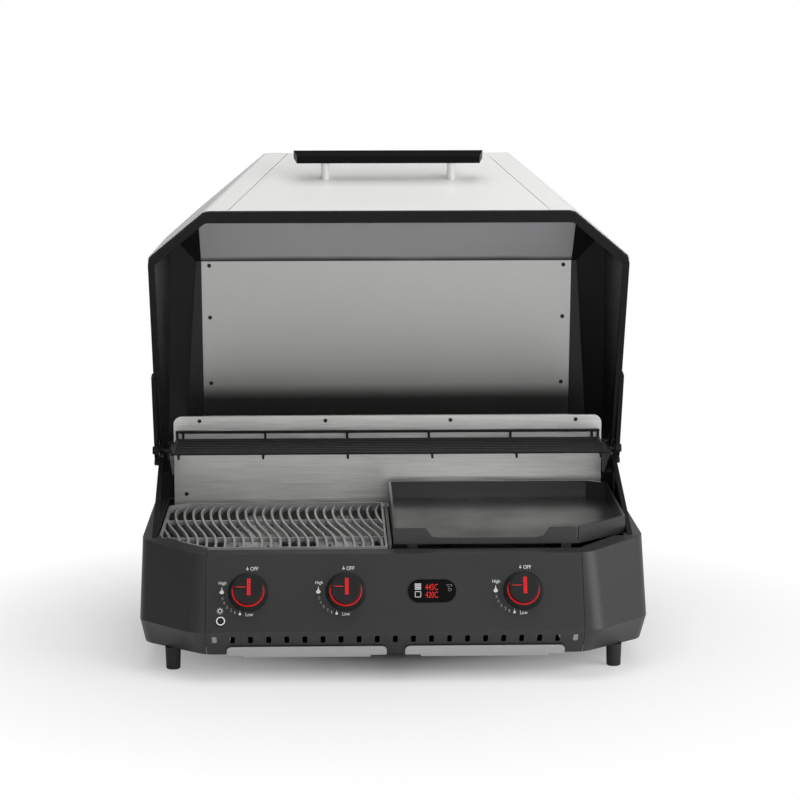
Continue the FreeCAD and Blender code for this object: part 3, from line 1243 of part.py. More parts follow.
def hinge_pins():
    pins = []
    for side in (-1, 1):
        inner = side * (CHEEK_HALF + CHEEK_SPLAY - 14)
        outer = side * (ARM_INNER + ARM_THICK + 0.4)
        shaft = rod(pt(inner, HINGE_DEPTH, HINGE_Z), pt(outer, HINGE_DEPTH, HINGE_Z), PIN_RADIUS)
        head = rod(pt(outer, HINGE_DEPTH, HINGE_Z),
                   pt(outer + side * 3, HINGE_DEPTH, HINGE_Z), PIN_RADIUS + 3)
        boss_start = side * (CHEEK_HALF + CHEEK_SPLAY - SHEET - 1)
        boss = rod(pt(boss_start, HINGE_DEPTH, HINGE_Z),
                   pt(boss_start - side * 6, HINGE_DEPTH, HINGE_Z), PIN_RADIUS + 3)
        pins.append(fused([shaft, head, boss]))
    return pins


def panel_frame():
    # Local directions of the hood's front: up along it, and outwards from it.
    rim_z = parting_z(RIM_FRONT) + LID_GAP + RIM_HEIGHT
    up = V(0, RIDGE_DEPTH - RIM_FRONT, RIDGE_Z - rim_z).normalize()
    out = V(0, up.z, -up.y) * -1
    return pt(0, RIM_FRONT, rim_z), up, V(0, -abs(out.y), -abs(out.z))


def lid_handle():
    foot, up, out = panel_frame()
    near = foot + up * HANDLE_FROM_RIM + out * HANDLE_STAND_OFF
    sections = []
    for rise, length in ((0.0, HANDLE_LENGTH - HANDLE_TAPER), (HANDLE_TALL, HANDLE_LENGTH)):
        base = near + up * rise
        half = V(length / 2, 0, 0)
        points = [base - half, base + half, base + half + out * HANDLE_THICK, base - half + out * HANDLE_THICK]
        sections.append(Part.makePolygon(points + points[:1]))
    bar = Part.makeLoft(sections, True, True)
    long_edges = [edge for edge in bar.Edges if edge.Length > HANDLE_LENGTH / 2]
    return bar.makeFillet(2.0, long_edges)


def handle_posts():
    foot, up, out = panel_frame()
    posts = []
    for side in (-1, 1):
        start = foot + up * (HANDLE_FROM_RIM + HANDLE_TALL / 2) + V(side * POST_X, 0, 0)
        posts.append(rod(start, start + out * HANDLE_STAND_OFF, POST_RADIUS))
    return posts


def rack():
    # A wire grid: long wires on bent cross wires, with a raised rail along the rear.
    r = WIRE_RADIUS
    wires = []
    pitch = RACK_DEPTH / (RACK_WIRES - 1)
    for index in range(RACK_WIRES):
        depth = RACK_FRONT + index * pitch
        wires.append(wire(pt(-RACK_HALF, depth, RACK_Z), pt(RACK_HALF, depth, RACK_Z), r))
    rail_depth = RACK_REAR + 4
    rail_z = RACK_Z + RAIL_RISE
    cross_z = RACK_Z - r * 1.6
    near = RACK_FRONT - 4
    cross_pitch = (2 * RACK_HALF - 26) / (RACK_CROSS - 1)
    for index in range(RACK_CROSS):
        x = (index - (RACK_CROSS - 1) / 2) * cross_pitch
        wires.append(wire(pt(x, near - 1, cross_z), pt(x, rail_depth + 1, cross_z), r - 0.2))
        wires.append(wire(pt(x, rail_depth, cross_z - r), pt(x, rail_depth, rail_z), r - 0.4))
        wires.append(wire(pt(x, near, cross_z - r - RACK_HOOK), pt(x, near, cross_z + 1), r - 0.4))
    wires.append(wire(pt(-RACK_HALF, rail_depth, rail_z), pt(RACK_HALF, rail_depth, rail_z), r))
    for side in (-1, 1):
        x = side * (RACK_HALF - r)
        wires.append(wire(pt(x, near, RACK_Z), pt(x, rail_depth + 3, RACK_Z), r + 0.4))
        wires.append(wire(pt(x, rail_depth, RACK_Z - 1), pt(x, rail_depth, rail_z), r - 0.2))
        for place in RACK_PINS:
            depth = RACK_FRONT + place
            wires.append(wire(pt(x, depth, RACK_Z), pt(x + side * RACK_PIN_REACH, depth, RACK_Z), r - 0.3))
    return fused(wires)


def rack_bracket(side):
    # A cradle plate held off the cheek by a lug, with a notch under each end pin of the rack.
    inner = RACK_HALF + BRACKET_GAP
    outer = inner + BRACKET_SHEET
    top = RACK_Z + 2
    low = PLATE_REAR_TOP_Z + PLATE_LIFT + 3
    places = [RACK_FRONT + place for place in RACK_PINS]
    profile = [(places[0] - 10, top - 14), (places[1] - 18, low), (places[1] + 14, low),
               (places[1] + 14, top), (places[0] - 10, top)]
    plate = prism_x(profile, inner, outer)
    reach = WIRE_RADIUS - 0.3 + MOVING_GAP
    for depth in places:
        plate = plate.cut(rod(pt(inner - 1, depth, RACK_Z), pt(outer + 1, depth, RACK_Z), reach))
        plate = plate.cut(block(inner - 1, outer + 1, depth - reach, depth + reach, RACK_Z, top + 1))
    near = places[1] - 12
    lug = block(inner, cheek_face(near) - SHEET - 0.1, near, near + 24, low, low + 6)
    shape = fused([plate, lug])
    return shape if side > 0 else mirrored(shape)


def gas_inlet(end):
    # The supply pipe from the manifold to a threaded inlet at the back.
    r = INLET_RADIUS
    side = V(INLET_X, end.y, end.z)
    behind = V(INLET_X, pt(0, BOX_FRONT - 9, 0).y, end.z)
    low = V(INLET_X, behind.y, INLET_Z)
    rear = pt(INLET_X, REAR_DEPTH, INLET_Z)
    thin = r - 0.6
    run = [rod(end - V(4, 0, 0), side + V(thin, 0, 0), thin), rod(side - V(0, r, 0), behind + V(0, r, 0), r),
           rod(behind + V(0, 0, thin), low - V(0, 0, thin), thin),
            rod(low - V(0, r, 0), rear + V(0, 4, 0), r)]
    nut = Part.makeCylinder(INLET_NUT, 8, rear, Y_AXIS)
    nipple = Part.makeCylinder(INLET_THREAD, INLET_LENGTH, rear, Y_AXIS)
    bore = Part.makeCylinder(INLET_BORE, INLET_LENGTH + 1, rear + V(0, 3, 0), Y_AXIS)
    return fused(run + [nut, nipple]).cut(bore)


def screw(point, direction):
    # A pan head that rests on the face at the point.
    dome = Part.makeCylinder(SCREW_RADIUS, SCREW_HEAD, point, direction)
    top = [edge for edge in dome.Edges
           if edge.Length > 6 and (edge.CenterOfMass - point).Length > SCREW_HEAD / 2]
    return dome.makeChamfer(SCREW_HEAD * 0.4, top)


def panel_screws():
    screws = []
    for side in (-1, 1):
        for x in (BACK_SCREW_INNER, BACK_HALF - BACK_SCREW_INSET):
            screws.append(screw(pt(side * x, BACK_DEPTH, BACK_TOP_Z - 8), V(0, -1, 0)))
        screws.append(screw(pt(side * (BACK_HALF - 21), BACK_DEPTH, TOP_Z + 8), V(0, -1, 0)))
    return screws


def lid_screws():
    # Screws through the roof liner and the front strip, and two in the rim's chamfers.
    screws = []
    run = BOX_REAR - LINER_FOLD_DEPTH
    drop = LINER_REAR_Z - LINER_FOLD_Z
    skin = LINER_SHEET * math.hypot(run, drop) / run
    for side in (-1, 1):
        for share in LINER_SCREWS:
            point = pt(side * (LINER_HALF - LINER_SCREW_INSET), LINER_FOLD_DEPTH + share * run,
                       LINER_FOLD_Z + share * drop - skin)
            screws.append(screw(point, V(0, drop, -run).normalize()))
    return screws


def main():
    os.makedirs("parts", exist_ok=True)
    lower_wall, upper_wall, upper_in = housing_shells()
    export("fascia_panel", [fascia_panel(upper_wall, upper_in)])
    export("lower_skirt", [lower_skirt(lower_wall)])
    right = side_shell(lower_wall, upper_wall, upper_in)
    export("side_shell_right", [right])
    export("side_shell_left", [mirrored(right)])
    export("rear_casing", [rear_casing()])
    export("floor_pan", [floor_pan()])
    export("firebox", [firebox()])
    export("centre_divider", [centre_divider()])
    export("grill_grate", [grill_grate()])
    export("griddle_plate", [griddle_plate()])
    export("burner_left", [straight_burner(KNOB_X[0])])
    export("burner_centre", [straight_burner(KNOB_X[1])])
    export("burner_right", [griddle_burner(KNOB_X[2])])
    export("flame_tamer_left", [flame_tamer(KNOB_X[0], TAMER_HALF)])
    export("flame_tamer_centre", [flame_tamer(KNOB_X[1], TAMER_HALF)])
    manifold, end = gas_manifold()
    export("gas_manifold", [manifold])
    export("gas_inlet", [gas_inlet(end)])
    for x, name in zip(KNOB_X, KNOB_NAMES):
        export("valve_body_" + name, [valve_body(x)])
        export("valve_plug_" + name, [valve_plug(x)])
        export("valve_stem_" + name, [valve_stem(x)])
        export("knob_" + name, [control_knob(x)])
    export("knob_bezels", [knob_bezel(x) for x in KNOB_X])
    export("light_rings", [light_ring(x) for x in KNOB_X])
    export("display_housing", [display_housing()])
    export("display_window", [display_window()])
    export("light_button", [light_button()])
    export("ignition_electrodes", electrodes())
    for centre, (side, name) in zip(TRAY_CENTRES, SIDES):
        export("drip_tray_" + name, [drip_tray(centre)])
    export("tray_rails", tray_rails())
    export("feet", feet())
    export("back_panel", [back_panel()])
    for side, name in SIDES:
        export("cheek_" + name, [cheek(side)])
        export("hinge_arm_" + name, [arm_shape(side)])
        export("rack_bracket_" + name, [rack_bracket(side)])
    export("hinge_pins", hinge_pins())
    export("warming_rack", [rack()])
    export("panel_screws", panel_screws())
    clearance = arm_clearance()
    middle, cap_left, cap_right = hood_pieces()
    export("lid_hood", [opened(middle)])
    export("lid_cap_left", [opened(cap_left.cut(clearance))])
    export("lid_cap_right", [opened(cap_right.cut(clearance))])
    front, top, left, right = liner_pieces()
    export("lid_liner_front", [opened(front)])
    export("lid_liner_top", [opened(top)])
    export("lid_liner_left", [opened(left)])
    export("lid_liner_right", [opened(right)])
    export("lid_rim", [opened(lid_rim())])
    export("lid_handle", [opened(lid_handle())])
    export("handle_posts", [opened(post) for post in handle_posts()])
    export("lid_screws", [opened(item) for item in lid_screws()])


main()
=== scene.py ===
# %% [markdown]
# A table-top gas grill, dressed for the studio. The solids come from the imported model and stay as
# they are. This lesson gives every one of them a finish made of shader nodes, adds the thin things
# that a solid model leaves out, such as printed marks and lit figures, and sets up a floor, soft
# lamps and the camera.

# %% Load the frame
import math

import bpy
from mathutils import Matrix, Vector


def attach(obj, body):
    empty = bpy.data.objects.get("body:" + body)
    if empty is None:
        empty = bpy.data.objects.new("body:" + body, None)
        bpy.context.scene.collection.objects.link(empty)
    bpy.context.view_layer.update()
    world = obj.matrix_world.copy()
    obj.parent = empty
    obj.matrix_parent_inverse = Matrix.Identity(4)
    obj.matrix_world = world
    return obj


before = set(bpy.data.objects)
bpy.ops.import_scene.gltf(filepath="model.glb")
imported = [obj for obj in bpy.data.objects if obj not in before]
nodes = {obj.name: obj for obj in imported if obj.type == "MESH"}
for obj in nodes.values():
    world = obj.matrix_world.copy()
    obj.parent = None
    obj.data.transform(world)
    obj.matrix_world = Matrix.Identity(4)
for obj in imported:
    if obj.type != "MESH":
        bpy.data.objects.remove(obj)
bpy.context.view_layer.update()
print("nodes in the frame:", len(nodes))

# %% [markdown]
# Nearly all of the surfaces are painted or brushed metal. A finish needs sums of noise and masks,
# and wiring each sum by hand hides what it means. So one small class wraps a socket: written as
# Python expressions, sums add their own Math nodes, and a single method makes every other kind of
# node.

# %% A socket that can be used in sums
class Wire:
    def __init__(self, tree, socket):
        self.tree = tree
        self.socket = socket

    def node(self, kind, settings=None, inputs=None, output=0):
        made = self.tree.nodes.new(kind)
        for key, value in (settings or {}).items():
            if key == "stops":
                ramp = made.color_ramp.elements
                while len(ramp) < len(value):
                    ramp.new(0.5)
                for stop, (place, shade) in zip(ramp, value):
                    stop.position = place
                    stop.color = (shade, shade, shade, 1)
            else:
                setattr(made, key, value)
        for key, value in (inputs or {}).items():
            if isinstance(value, Wire):
                self.tree.links.new(value.socket, made.inputs[key])
            else:
                made.inputs[key].default_value = value
        return Wire(self.tree, made.outputs[output])

    def math(self, operation, first, second):
        return self.node("ShaderNodeMath", {"operation": operation}, {0: first, 1: second})

    def __add__(self, other):
        return self.math("ADD", self, other)

    def __radd__(self, other):
        return self.math("ADD", other, self)

    def __sub__(self, other):
        return self.math("SUBTRACT", self, other)

    def __rsub__(self, other):
        return self.math("SUBTRACT", other, self)

    def __mul__(self, other):
        return self.math("MULTIPLY", self, other)

    def __rmul__(self, other):
        return self.math("MULTIPLY", other, self)

    def clipped(self):
        return self.node("ShaderNodeClamp", None, {"Value": self})


print("socket sums are ready")

# %% [markdown]
# Each finish starts the same way: a Principled shader and the object's own coordinates, in metres.
# The coordinates are right for rigid sheet metal, because the pattern then stays where it is when
# the lid opens. Noise is stretched with a Mapping node where the finish has a direction. The other
# helpers blend colours, swing a value to both sides, turn a height into a mask, and make a bump.

# %% Start a finish
def start_finish(name, **plain):
    material = bpy.data.materials.new(name)
    material.use_nodes = True
    tree = material.node_tree
    tree.nodes.clear()
    output = tree.nodes.new("ShaderNodeOutputMaterial")
    shader = tree.nodes.new("ShaderNodeBsdfPrincipled")
    tree.links.new(shader.outputs[0], output.inputs[0])
    for key, value in plain.items():
        shader.inputs[key.replace("_", " ")].default_value = value
    place = Wire(tree, tree.nodes.new("ShaderNodeTexCoord").outputs["Object"])
    return material, shader, place


def noise(place, scale, detail=3.0, stretch=(1, 1, 1)):
    mapped = place.node("ShaderNodeMapping", None, {"Vector": place, "Scale": stretch})
    return place.node("ShaderNodeTexNoise", None, {"Vector": mapped, "Scale": scale, "Detail": detail})


def mix(place, factor, first, second):
    # Blends two colours, each a row of red, green and blue or a wire that carries a colour.
    first, second = [shade if isinstance(shade, Wire) else (*shade, 1) for shade in (first, second)]
    return place.node("ShaderNodeMix", {"data_type": "RGBA"},
                      {0: factor, 6: first, 7: second}, output=2)


def times(shade, factor):
    return [channel * factor for channel in shade]


def swing(pattern, amount):
    # Noise lies around a half, so this lies around nought.
    return (pattern - 0.5) * amount


def height_in(place):
    return place.node("ShaderNodeSeparateXYZ", None, {0: place}, output=2)


def below(height, low, high):
    # One under the lower height, nought over the higher one, and a straight fade between them.
    return ((high - height) * (1 / (high - low))).clipped()


def feed(shader, key, wire):
    wire.tree.links.new(wire.socket, shader.inputs[key])


def bump(place, height, strength, distance):
    return place.node("ShaderNodeBump", None,
                      {"Strength": strength, "Distance": distance, "Height": height})


print("finish helpers are ready")

# %% [markdown]
# Powder coat and enamel are paint baked on sheet steel. Close up they show a fine orange peel, and
# from further off a faint drift in shade where hands and weather have been. Fine noise feeds the
# bump, broad noise feeds colour and roughness.

# %% Painted finishes
DRIFT_SCALE = 7.0
PEEL_SCALE = 900.0
PEEL_DEPTH = 0.0004


def painted(name, shade, roughness, shine, peel, drift):
    # Shine is how much the paint mirrors: 0.5 is a usual varnish, less is flatter paint. Peel is the
    # strength of the orange peel, and drift the part by which the shade varies.
    material, shader, place = start_finish(name, Specular_IOR_Level=shine)
    broad = noise(place, DRIFT_SCALE)
    fine = noise(place, PEEL_SCALE, 2.0)
    feed(shader, "Base Color", mix(place, broad, times(shade, 1 - drift), times(shade, 1 + drift)))
    feed(shader, "Roughness", roughness + swing(broad, 0.12) + swing(fine, 0.06))
    feed(shader, "Normal", bump(place, fine, peel, PEEL_DEPTH))
    return material


charcoal = painted("charcoal_enamel", (0.022, 0.022, 0.0225), 0.43, 0.42, 0.08, 0.08)
black = painted("black_powder_coat", (0.006, 0.006, 0.0065), 0.44, 0.20, 0.18, 0.15)
handle_black = painted("handle_coat", (0.003, 0.003, 0.0033), 0.34, 0.08, 0.08, 0.10)
inner_black = painted("black_liner_paint", (0.010, 0.010, 0.011), 0.34, 0.36, 0.08, 0.15)
white = painted("white_enamel", (0.80, 0.80, 0.79), 0.24, 0.5, 0.05, 0.015)
light_grey = painted("light_grey_coating", (0.46, 0.46, 0.455), 0.38, 0.4, 0.12, 0.05)
paints = (charcoal, black, handle_black, inner_black, white, light_grey)
print("painted finishes:", [material.name for material in paints])

# %% [markdown]
# The liner, the back panel and the front strip are brushed stainless steel. Brushing leaves fine
# lines along the sheet. Noise that is stretched up to fiftyfold along X gives the lines, and they
# go into both the roughness and the bump, because the lines scatter light as well as catching it.
# Heat turns steel brown in patches, which are noise with a ramp. A mask on height paints a dark
# band on the sheet, a painted shade that stands in for shadow and dark reflections.

# %% Brushed steel
LINE_SCALE = 60.0
LINE_DEPTH = 0.0003
HEAT_STOPS = ((0.45, 0.0), (0.75, 1.0))
HEAT_BROWN = (0.16, 0.12, 0.09)
# Painted shade: the tone, strength and ragged edge of a dark band that stands in for shadow and dark
# reflections.
PAINTED_SHADE_TONE = (0.03, 0.029, 0.028)
PAINTED_SHADE_STRENGTH = 0.85
PAINTED_SHADE_RAGGED = 0.008


def brushed(name, shade, roughness, stretch, lines, stain=0.0, metallic=1.0, painted_shade=None):
    # Lines is how much darker the lines are than the rest, and stain is how far heat has browned it.
    # A lower metallic makes a sheet scatter more and mirror less, as on the blasted firebox. On the
    # strip
    # and the tamers it is painted light: a pale, mostly matt colour standing in for reflections.
    # A pair of heights for painted shade: painted dark below the first, untouched above the second.
    material, shader, place = start_finish(name, Metallic=metallic)
    fine = noise(place, LINE_SCALE, 4.0, stretch)
    broad = noise(place, 4.0)
    colour = mix(place, fine, times(shade, 1 - lines), shade)
    if stain:
        heat = place.node("ShaderNodeValToRGB", {"stops": HEAT_STOPS}, {0: noise(place, 18.0)})
        amount = place.node("ShaderNodeRGBToBW", None, {0: heat}) * stain
        colour = mix(place, amount, colour, HEAT_BROWN)
    # Painted shade: darkens the steel below a height, standing in for shadow and dark reflections.
    if painted_shade:
        height = height_in(place) - swing(broad, PAINTED_SHADE_RAGGED)
        colour = mix(place, below(height, *painted_shade) * PAINTED_SHADE_STRENGTH, colour, PAINTED_SHADE_TONE)
    feed(shader, "Base Color", colour)
    feed(shader, "Roughness", roughness + swing(fine, 0.22) + swing(broad, 0.06))
    feed(shader, "Normal", bump(place, fine, 0.10, LINE_DEPTH))
    return material


print("steel can be brushed")

# %% [markdown]
# Not every metal piece is brushed alike. The liner and the strip have fine lines, the back panel
# coarser ones. Liner and strip carry a painted dark band: a painted reflection of the dark casing at
# the liner's foot, and a painted shadow in the strip's fold where it meets the liner. The burners'
# tubes are drawn lengthwise, the firebox and the flame tamers are blasted, and screws, stems and
# brass fittings are turned. The back panel's lighter shade and the pale, mostly matt colour of the
# strip and the tamers are painted light. One set of numbers for each is enough.

# %% Metal finishes
FINE_LINES = (1.2, 60, 60)
COARSE_LINES = (0.3, 8, 8)
DRAWN = (8, 1, 8)
BLASTED = (4, 4, 4)
TURNED = (6, 6, 6)
TURNED_BRASS = (6, 40, 6)
# Heights of the painted dark bands: a painted reflection of the dark casing at the liner's foot, a
# painted shadow in the strip's fold.
LINER_FOOT_PAINTED_REFLECTION = (0.358, 0.386)
STRIP_FOLD_PAINTED_SHADOW = (0.612, 0.619)
liner_steel = brushed("brushed_steel", (0.50, 0.50, 0.49), 0.34, FINE_LINES, 0.22, painted_shade=LINER_FOOT_PAINTED_REFLECTION)
# Painted light: the back panel's shade is lighter than the liner's steel, standing in for the light it
# catches through the lid's opening.
panel_steel_painted_light = brushed("panel_brushed_steel_painted_light", (0.74, 0.735, 0.72), 0.34, COARSE_LINES, 0.36)
# Painted reflection: the strip's pale colour with a low metallic stands in for the bright reflection
# on it.
strip_painted_light = brushed("strip_steel_painted_reflection", (0.70, 0.70, 0.72), 0.42, FINE_LINES, 0.12,
                      metallic=0.30, painted_shade=STRIP_FOLD_PAINTED_SHADOW)
burner_steel = brushed("heat_stained_steel", (0.42, 0.41, 0.40), 0.42, DRAWN, 0.15, stain=0.5)
# Painted light: the tamers' very pale colour with a low metallic stands in for the reflected light
# inside the firebox.
tamer_painted_light = brushed("flame_tamer_painted_light", (0.92, 0.91, 0.89), 0.36, BLASTED, 0.20,
                      stain=0.08, metallic=0.35)
firebox_steel = brushed("smoked_steel", (0.22, 0.21, 0.20), 0.50, BLASTED, 0.25,
                        stain=0.5, metallic=0.4)
stem_steel = brushed("screw_steel", (0.55, 0.55, 0.54), 0.30, TURNED, 0.15)
dark_steel = brushed("blackened_screw_steel", (0.015, 0.015, 0.016), 0.45, TURNED, 0.15, metallic=0.5)
brass = brushed("turned_brass", (0.60, 0.42, 0.17), 0.32, TURNED_BRASS, 0.15)
metals = (liner_steel, panel_steel_painted_light, strip_painted_light, burner_steel, tamer_painted_light, firebox_steel, stem_steel,
          dark_steel, brass)
print("metal finishes:", len(metals))

# %% [markdown]
# The grate is a casting under matt enamel: small pits from the sand and a soft sheen. The griddle
# plate is a smoother, blacker casting, rubbed with a little oil, so it is shinier in patches.

# %% Cast iron
PIT_SCALE = 620.0
PIT_DEPTH = 0.0006
PATCH_SCALE = 11.0


def cast(name, shade, roughness, pit, oiled):
    # Pit is how strongly the sand's grain shows, and oiled runs from 0, dry, to 1, freshly rubbed.
    material, shader, place = start_finish(name, Coat_Weight=oiled * 0.4, Coat_Roughness=0.35)
    pits = noise(place, PIT_SCALE, 5.0)
    patches = noise(place, PATCH_SCALE)
    feed(shader, "Base Color", mix(place, pits * 0.5 + patches * 0.5, shade, times(shade, 1.7)))
    feed(shader, "Roughness", roughness + swing(patches, 0.25 * (1 + oiled)))
    feed(shader, "Normal", bump(place, pits, pit, PIT_DEPTH))
    return material


grate_iron = cast("grate_enamel", (0.19, 0.19, 0.187), 0.36, 0.45, 0.2)
plate_iron = cast("griddle_enamel", (0.014, 0.014, 0.0137), 0.34, 0.12, 0.25)
print("castings:", grate_iron.name, plate_iron.name)

# %% [markdown]
# Plastic and rubber pieces: the knobs have a very fine grain, the display has a gloss black window,
# the feet are matt rubber and the electrodes have a glazed ceramic sleeve. The grain is again
# noise, with its size and strength changed to suit.

# %% Plastics, rubber and ceramic
CLOUD_SCALE = 25.0
GRAIN_DEPTH = 0.0003


def moulded(name, shade, roughness, shine, grain, strength):
    # Grain is the scale of the fine pattern, and strength is how much of it the bump shows.
    material, shader, place = start_finish(name, Specular_IOR_Level=shine)
    fine = noise(place, grain, 3.0)
    broad = noise(place, CLOUD_SCALE)
    lighter = [min(1.0, channel * 1.3 + 0.002) for channel in shade]
    feed(shader, "Base Color", mix(place, broad, shade, lighter))
    feed(shader, "Roughness", roughness + swing(fine, 0.15))
    feed(shader, "Normal", bump(place, fine, strength, GRAIN_DEPTH))
    return material


knob_black = moulded("knob_plastic", (0.010, 0.010, 0.0105), 0.36, 0.30, 1400.0, 0.12)
window_black = moulded("display_window", (0.0025, 0.0025, 0.003), 0.16, 0.18, 300.0, 0.01)
rubber = moulded("foot_rubber", (0.014, 0.014, 0.014), 0.60, 0.35, 800.0, 0.35)
ceramic = moulded("electrode_ceramic", (0.62, 0.60, 0.55), 0.28, 0.5, 500.0, 0.06)
print("moulded finishes:", knob_black.name, window_black.name, rubber.name, ceramic.name)

# %% [markdown]
# Marks and lights. The marks on the fascia are printed in white, a little worn at the edges of the
# ink. The figures in the display glow red. Round each knob's face runs a clear ring with its lamps
# in the lower half, so the red is full below and fades out at nine and three o'clock. The ring is
# one turned solid, so the fade comes from a mask on its height, which needs no second piece.
# Emission is kept low, so that red stays red and doesn't wash out to white.

# %% Inks and lit plastic
INK_FLAWS = 1800.0
LAMP_CLOUDS = 160.0
CLEAR_PLASTIC = (0.012, 0.010, 0.010)
RING_FADE = (0.1425, 0.1535)
GLOW = 0.85


def ink(name, shade, worn):
    # Worn is how far the flaws in the ink darken it.
    material, shader, place = start_finish(name)
    flaw = noise(place, INK_FLAWS, 2.0)
    feed(shader, "Base Color", mix(place, flaw * worn, shade, times(shade, 0.6)))
    feed(shader, "Roughness", 0.5 + swing(flaw, 0.2))
    return material


def lit(name, shade, strength, unevenness, fade=None):
    # Unevenness is how far the light behind varies. Fade is a pair of heights: full below the first,
    # out above the second.
    material, shader, place = start_finish(name, Roughness=0.3, Emission_Strength=strength)
    cloud = noise(place, LAMP_CLOUDS, 2.0)
    glow = mix(place, cloud, times(shade, 1 - unevenness), shade)
    body = times(shade, 0.4)
    if fade:
        glow = mix(place, below(height_in(place), *fade), (0, 0, 0), glow)
        body = CLEAR_PLASTIC
    feed(shader, "Base Color", mix(place, cloud, body, times(body, 1.2)))
    feed(shader, "Emission Color", glow)
    return material


white_ink = ink("white_print", (0.80, 0.80, 0.79), 0.3)
faint_ink = ink("faint_print", (0.30, 0.30, 0.30), 0.4)
ring_red = lit("ring_light", (0.70, 0.006, 0.008), GLOW, 0.2, RING_FADE)
level_red = lit("level_bars", (0.62, 0.010, 0.012), GLOW, 0.15)
figure_red = lit("display_figures", (0.62, 0.014, 0.012), GLOW, 0.15)
pointer_red = lit("pointer_line", (0.45, 0.015, 0.015), 0.8, 0.15)
figure_grey = lit("display_icons", (0.45, 0.45, 0.45), 0.75, 0.15)
faint_grey = lit("display_small_marks", (0.22, 0.22, 0.22), 0.8, 0.2)
marks = (white_ink, faint_ink, ring_red, level_red, figure_red, pointer_red, figure_grey, faint_grey)
print("inks and lights:", [material.name for material in marks])

# %% [markdown]
# The solids from the frame keep their shapes, so dressing them is a matter of naming who wears
# what. A table from finish to nodes reads better than sixty assignments.

# %% Dress the frame
WEARS = {
    charcoal: ["fascia_panel", "lower_skirt", "side_shell_left", "side_shell_right"],
    black: ["rear_casing", "floor_pan", "cheek_left", "cheek_right", "rack_bracket_left",
            "rack_bracket_right", "lid_rim", "hinge_arm_left", "hinge_arm_right", "tray_rails",
            "warming_rack"],
    handle_black: ["lid_handle", "display_housing"],
    inner_black: ["lid_liner_left", "lid_liner_right"],
    white: ["lid_hood", "lid_cap_left", "lid_cap_right", "handle_posts"],
    light_grey: ["drip_tray_left", "drip_tray_right"],
    liner_steel: ["lid_liner_top"],
    panel_steel_painted_light: ["back_panel"],
    strip_painted_light: ["lid_liner_front"],
    burner_steel: ["burner_left", "burner_centre", "burner_right", "gas_manifold"],
    tamer_painted_light: ["flame_tamer_left", "flame_tamer_centre"],
    firebox_steel: ["firebox", "centre_divider"],
    stem_steel: ["valve_stem_left", "valve_stem_centre", "valve_stem_right"],
    dark_steel: ["panel_screws", "lid_screws", "hinge_pins"],
    brass: ["gas_inlet", "valve_body_left", "valve_body_centre", "valve_body_right", "valve_plug_left",
            "valve_plug_centre", "valve_plug_right"],
    grate_iron: ["grill_grate"],
    plate_iron: ["griddle_plate"],
    knob_black: ["knob_left", "knob_centre", "knob_right", "knob_bezels", "light_button"],
    window_black: ["display_window"],
    rubber: ["feet"],
    ceramic: ["ignition_electrodes"],
    ring_red: ["light_rings"],
}
dressed = 0
for material, names in WEARS.items():
    for name in names:
        for slot in nodes[name].material_slots:
            slot.material = material
        dressed += 1
print("dressed nodes:", dressed, "of", len(nodes))

# %% [markdown]
# The fascia leans back, and everything printed on it leans with it. Two numbers describe it: the
# crease, where it starts, and the slope. From these a point on the panel and the turn that lays a
# flat piece on it follow, so that each mark is drawn flat and then laid in place.

# %% The sloped fascia
CREASE = Vector((0, -0.3178, 0.082))
# How far the fascia goes back and up, in millimetres.
FASCIA_DEPTH, FASCIA_RISE = 60.0, 111.5
SLOPE = math.atan2(FASCIA_DEPTH, FASCIA_RISE)
UP = Vector((0, math.sin(SLOPE), math.cos(SLOPE)))
OUT = Vector((0, -math.cos(SLOPE), math.sin(SLOPE)))
KNOBS = {"left": -0.2306, "centre": -0.0773, "right": 0.2022}
ROW = 0.065
PRINT_OUT = 0.0001
PRINT_THICKNESS = 0.0001


def on_fascia(x, up, out):
    return CREASE + Vector((x, 0, 0)) + UP * up + OUT * out


def lay(piece, x, up, out):
    # Carries a piece drawn flat on the XY plane to the fascia, and puts its place in its mesh.
    turn = Matrix((Vector((1, 0, 0)), UP, OUT)).transposed().to_4x4()
    piece.data.transform(Matrix.Translation(on_fascia(x, up, out)) @ turn)
    return piece


def finish_piece(piece, name, material, body):
    piece.name = name
    piece.data.name = name
    piece.data.materials.append(material)
    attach(piece, body)
    return piece


print("fascia leans back by", round(math.degrees(SLOPE), 1), "degrees")

# %% [markdown]
# Words and numbers are text objects. Text has no thickness, and a print has hardly any, so each
# word gets 0.16 mm, half of it sunk towards the panel, and is then made a mesh, because a piece
# keeps its place in its mesh. Its size is given as the width and height of the printed word, and
# the mesh is scaled to that.

# %% Write words
# Text is extruded by this much to each side and then flattened to this part of it.
TEXT_EXTRUDE = 0.01
TEXT_FLATTEN = 0.008


def word(text, width, height, name, material, body, x, up, out=PRINT_OUT):
    bpy.ops.object.select_all(action="DESELECT")
    bpy.ops.object.text_add(location=(0, 0, 0))
    piece = bpy.context.object
    piece.data.body = text
    piece.data.extrude = TEXT_EXTRUDE
    bpy.ops.object.convert(target="MESH")
    piece = bpy.context.object
    places = [vertex.co for vertex in piece.data.vertices]
    left, right = min(p.x for p in places), max(p.x for p in places)
    low, high = min(p.y for p in places), max(p.y for p in places)
    centred = Matrix.Translation((-(left + right) / 2, -(low + high) / 2, 0))
    fitted = Matrix.Diagonal((width / (right - left), height / (high - low), TEXT_FLATTEN, 1))
    piece.data.transform(fitted @ centred)
    lay(piece, x, up, out)
    return finish_piece(piece, name, material, body)


print("words can be written")

# %% [markdown]
# The flames on the scale are a disc whose upper half is drawn out to a point. The big one has a
# hole in its round part. The hole is cut by an inset of the front and back faces at once, and
# bridging the two insets makes its wall.

# %% Flames
DISC_SIDES = 28
FLAME_THICKNESS = 0.00012
TIP_WIDTH = 0.22
TIP_TAPER = 1.25


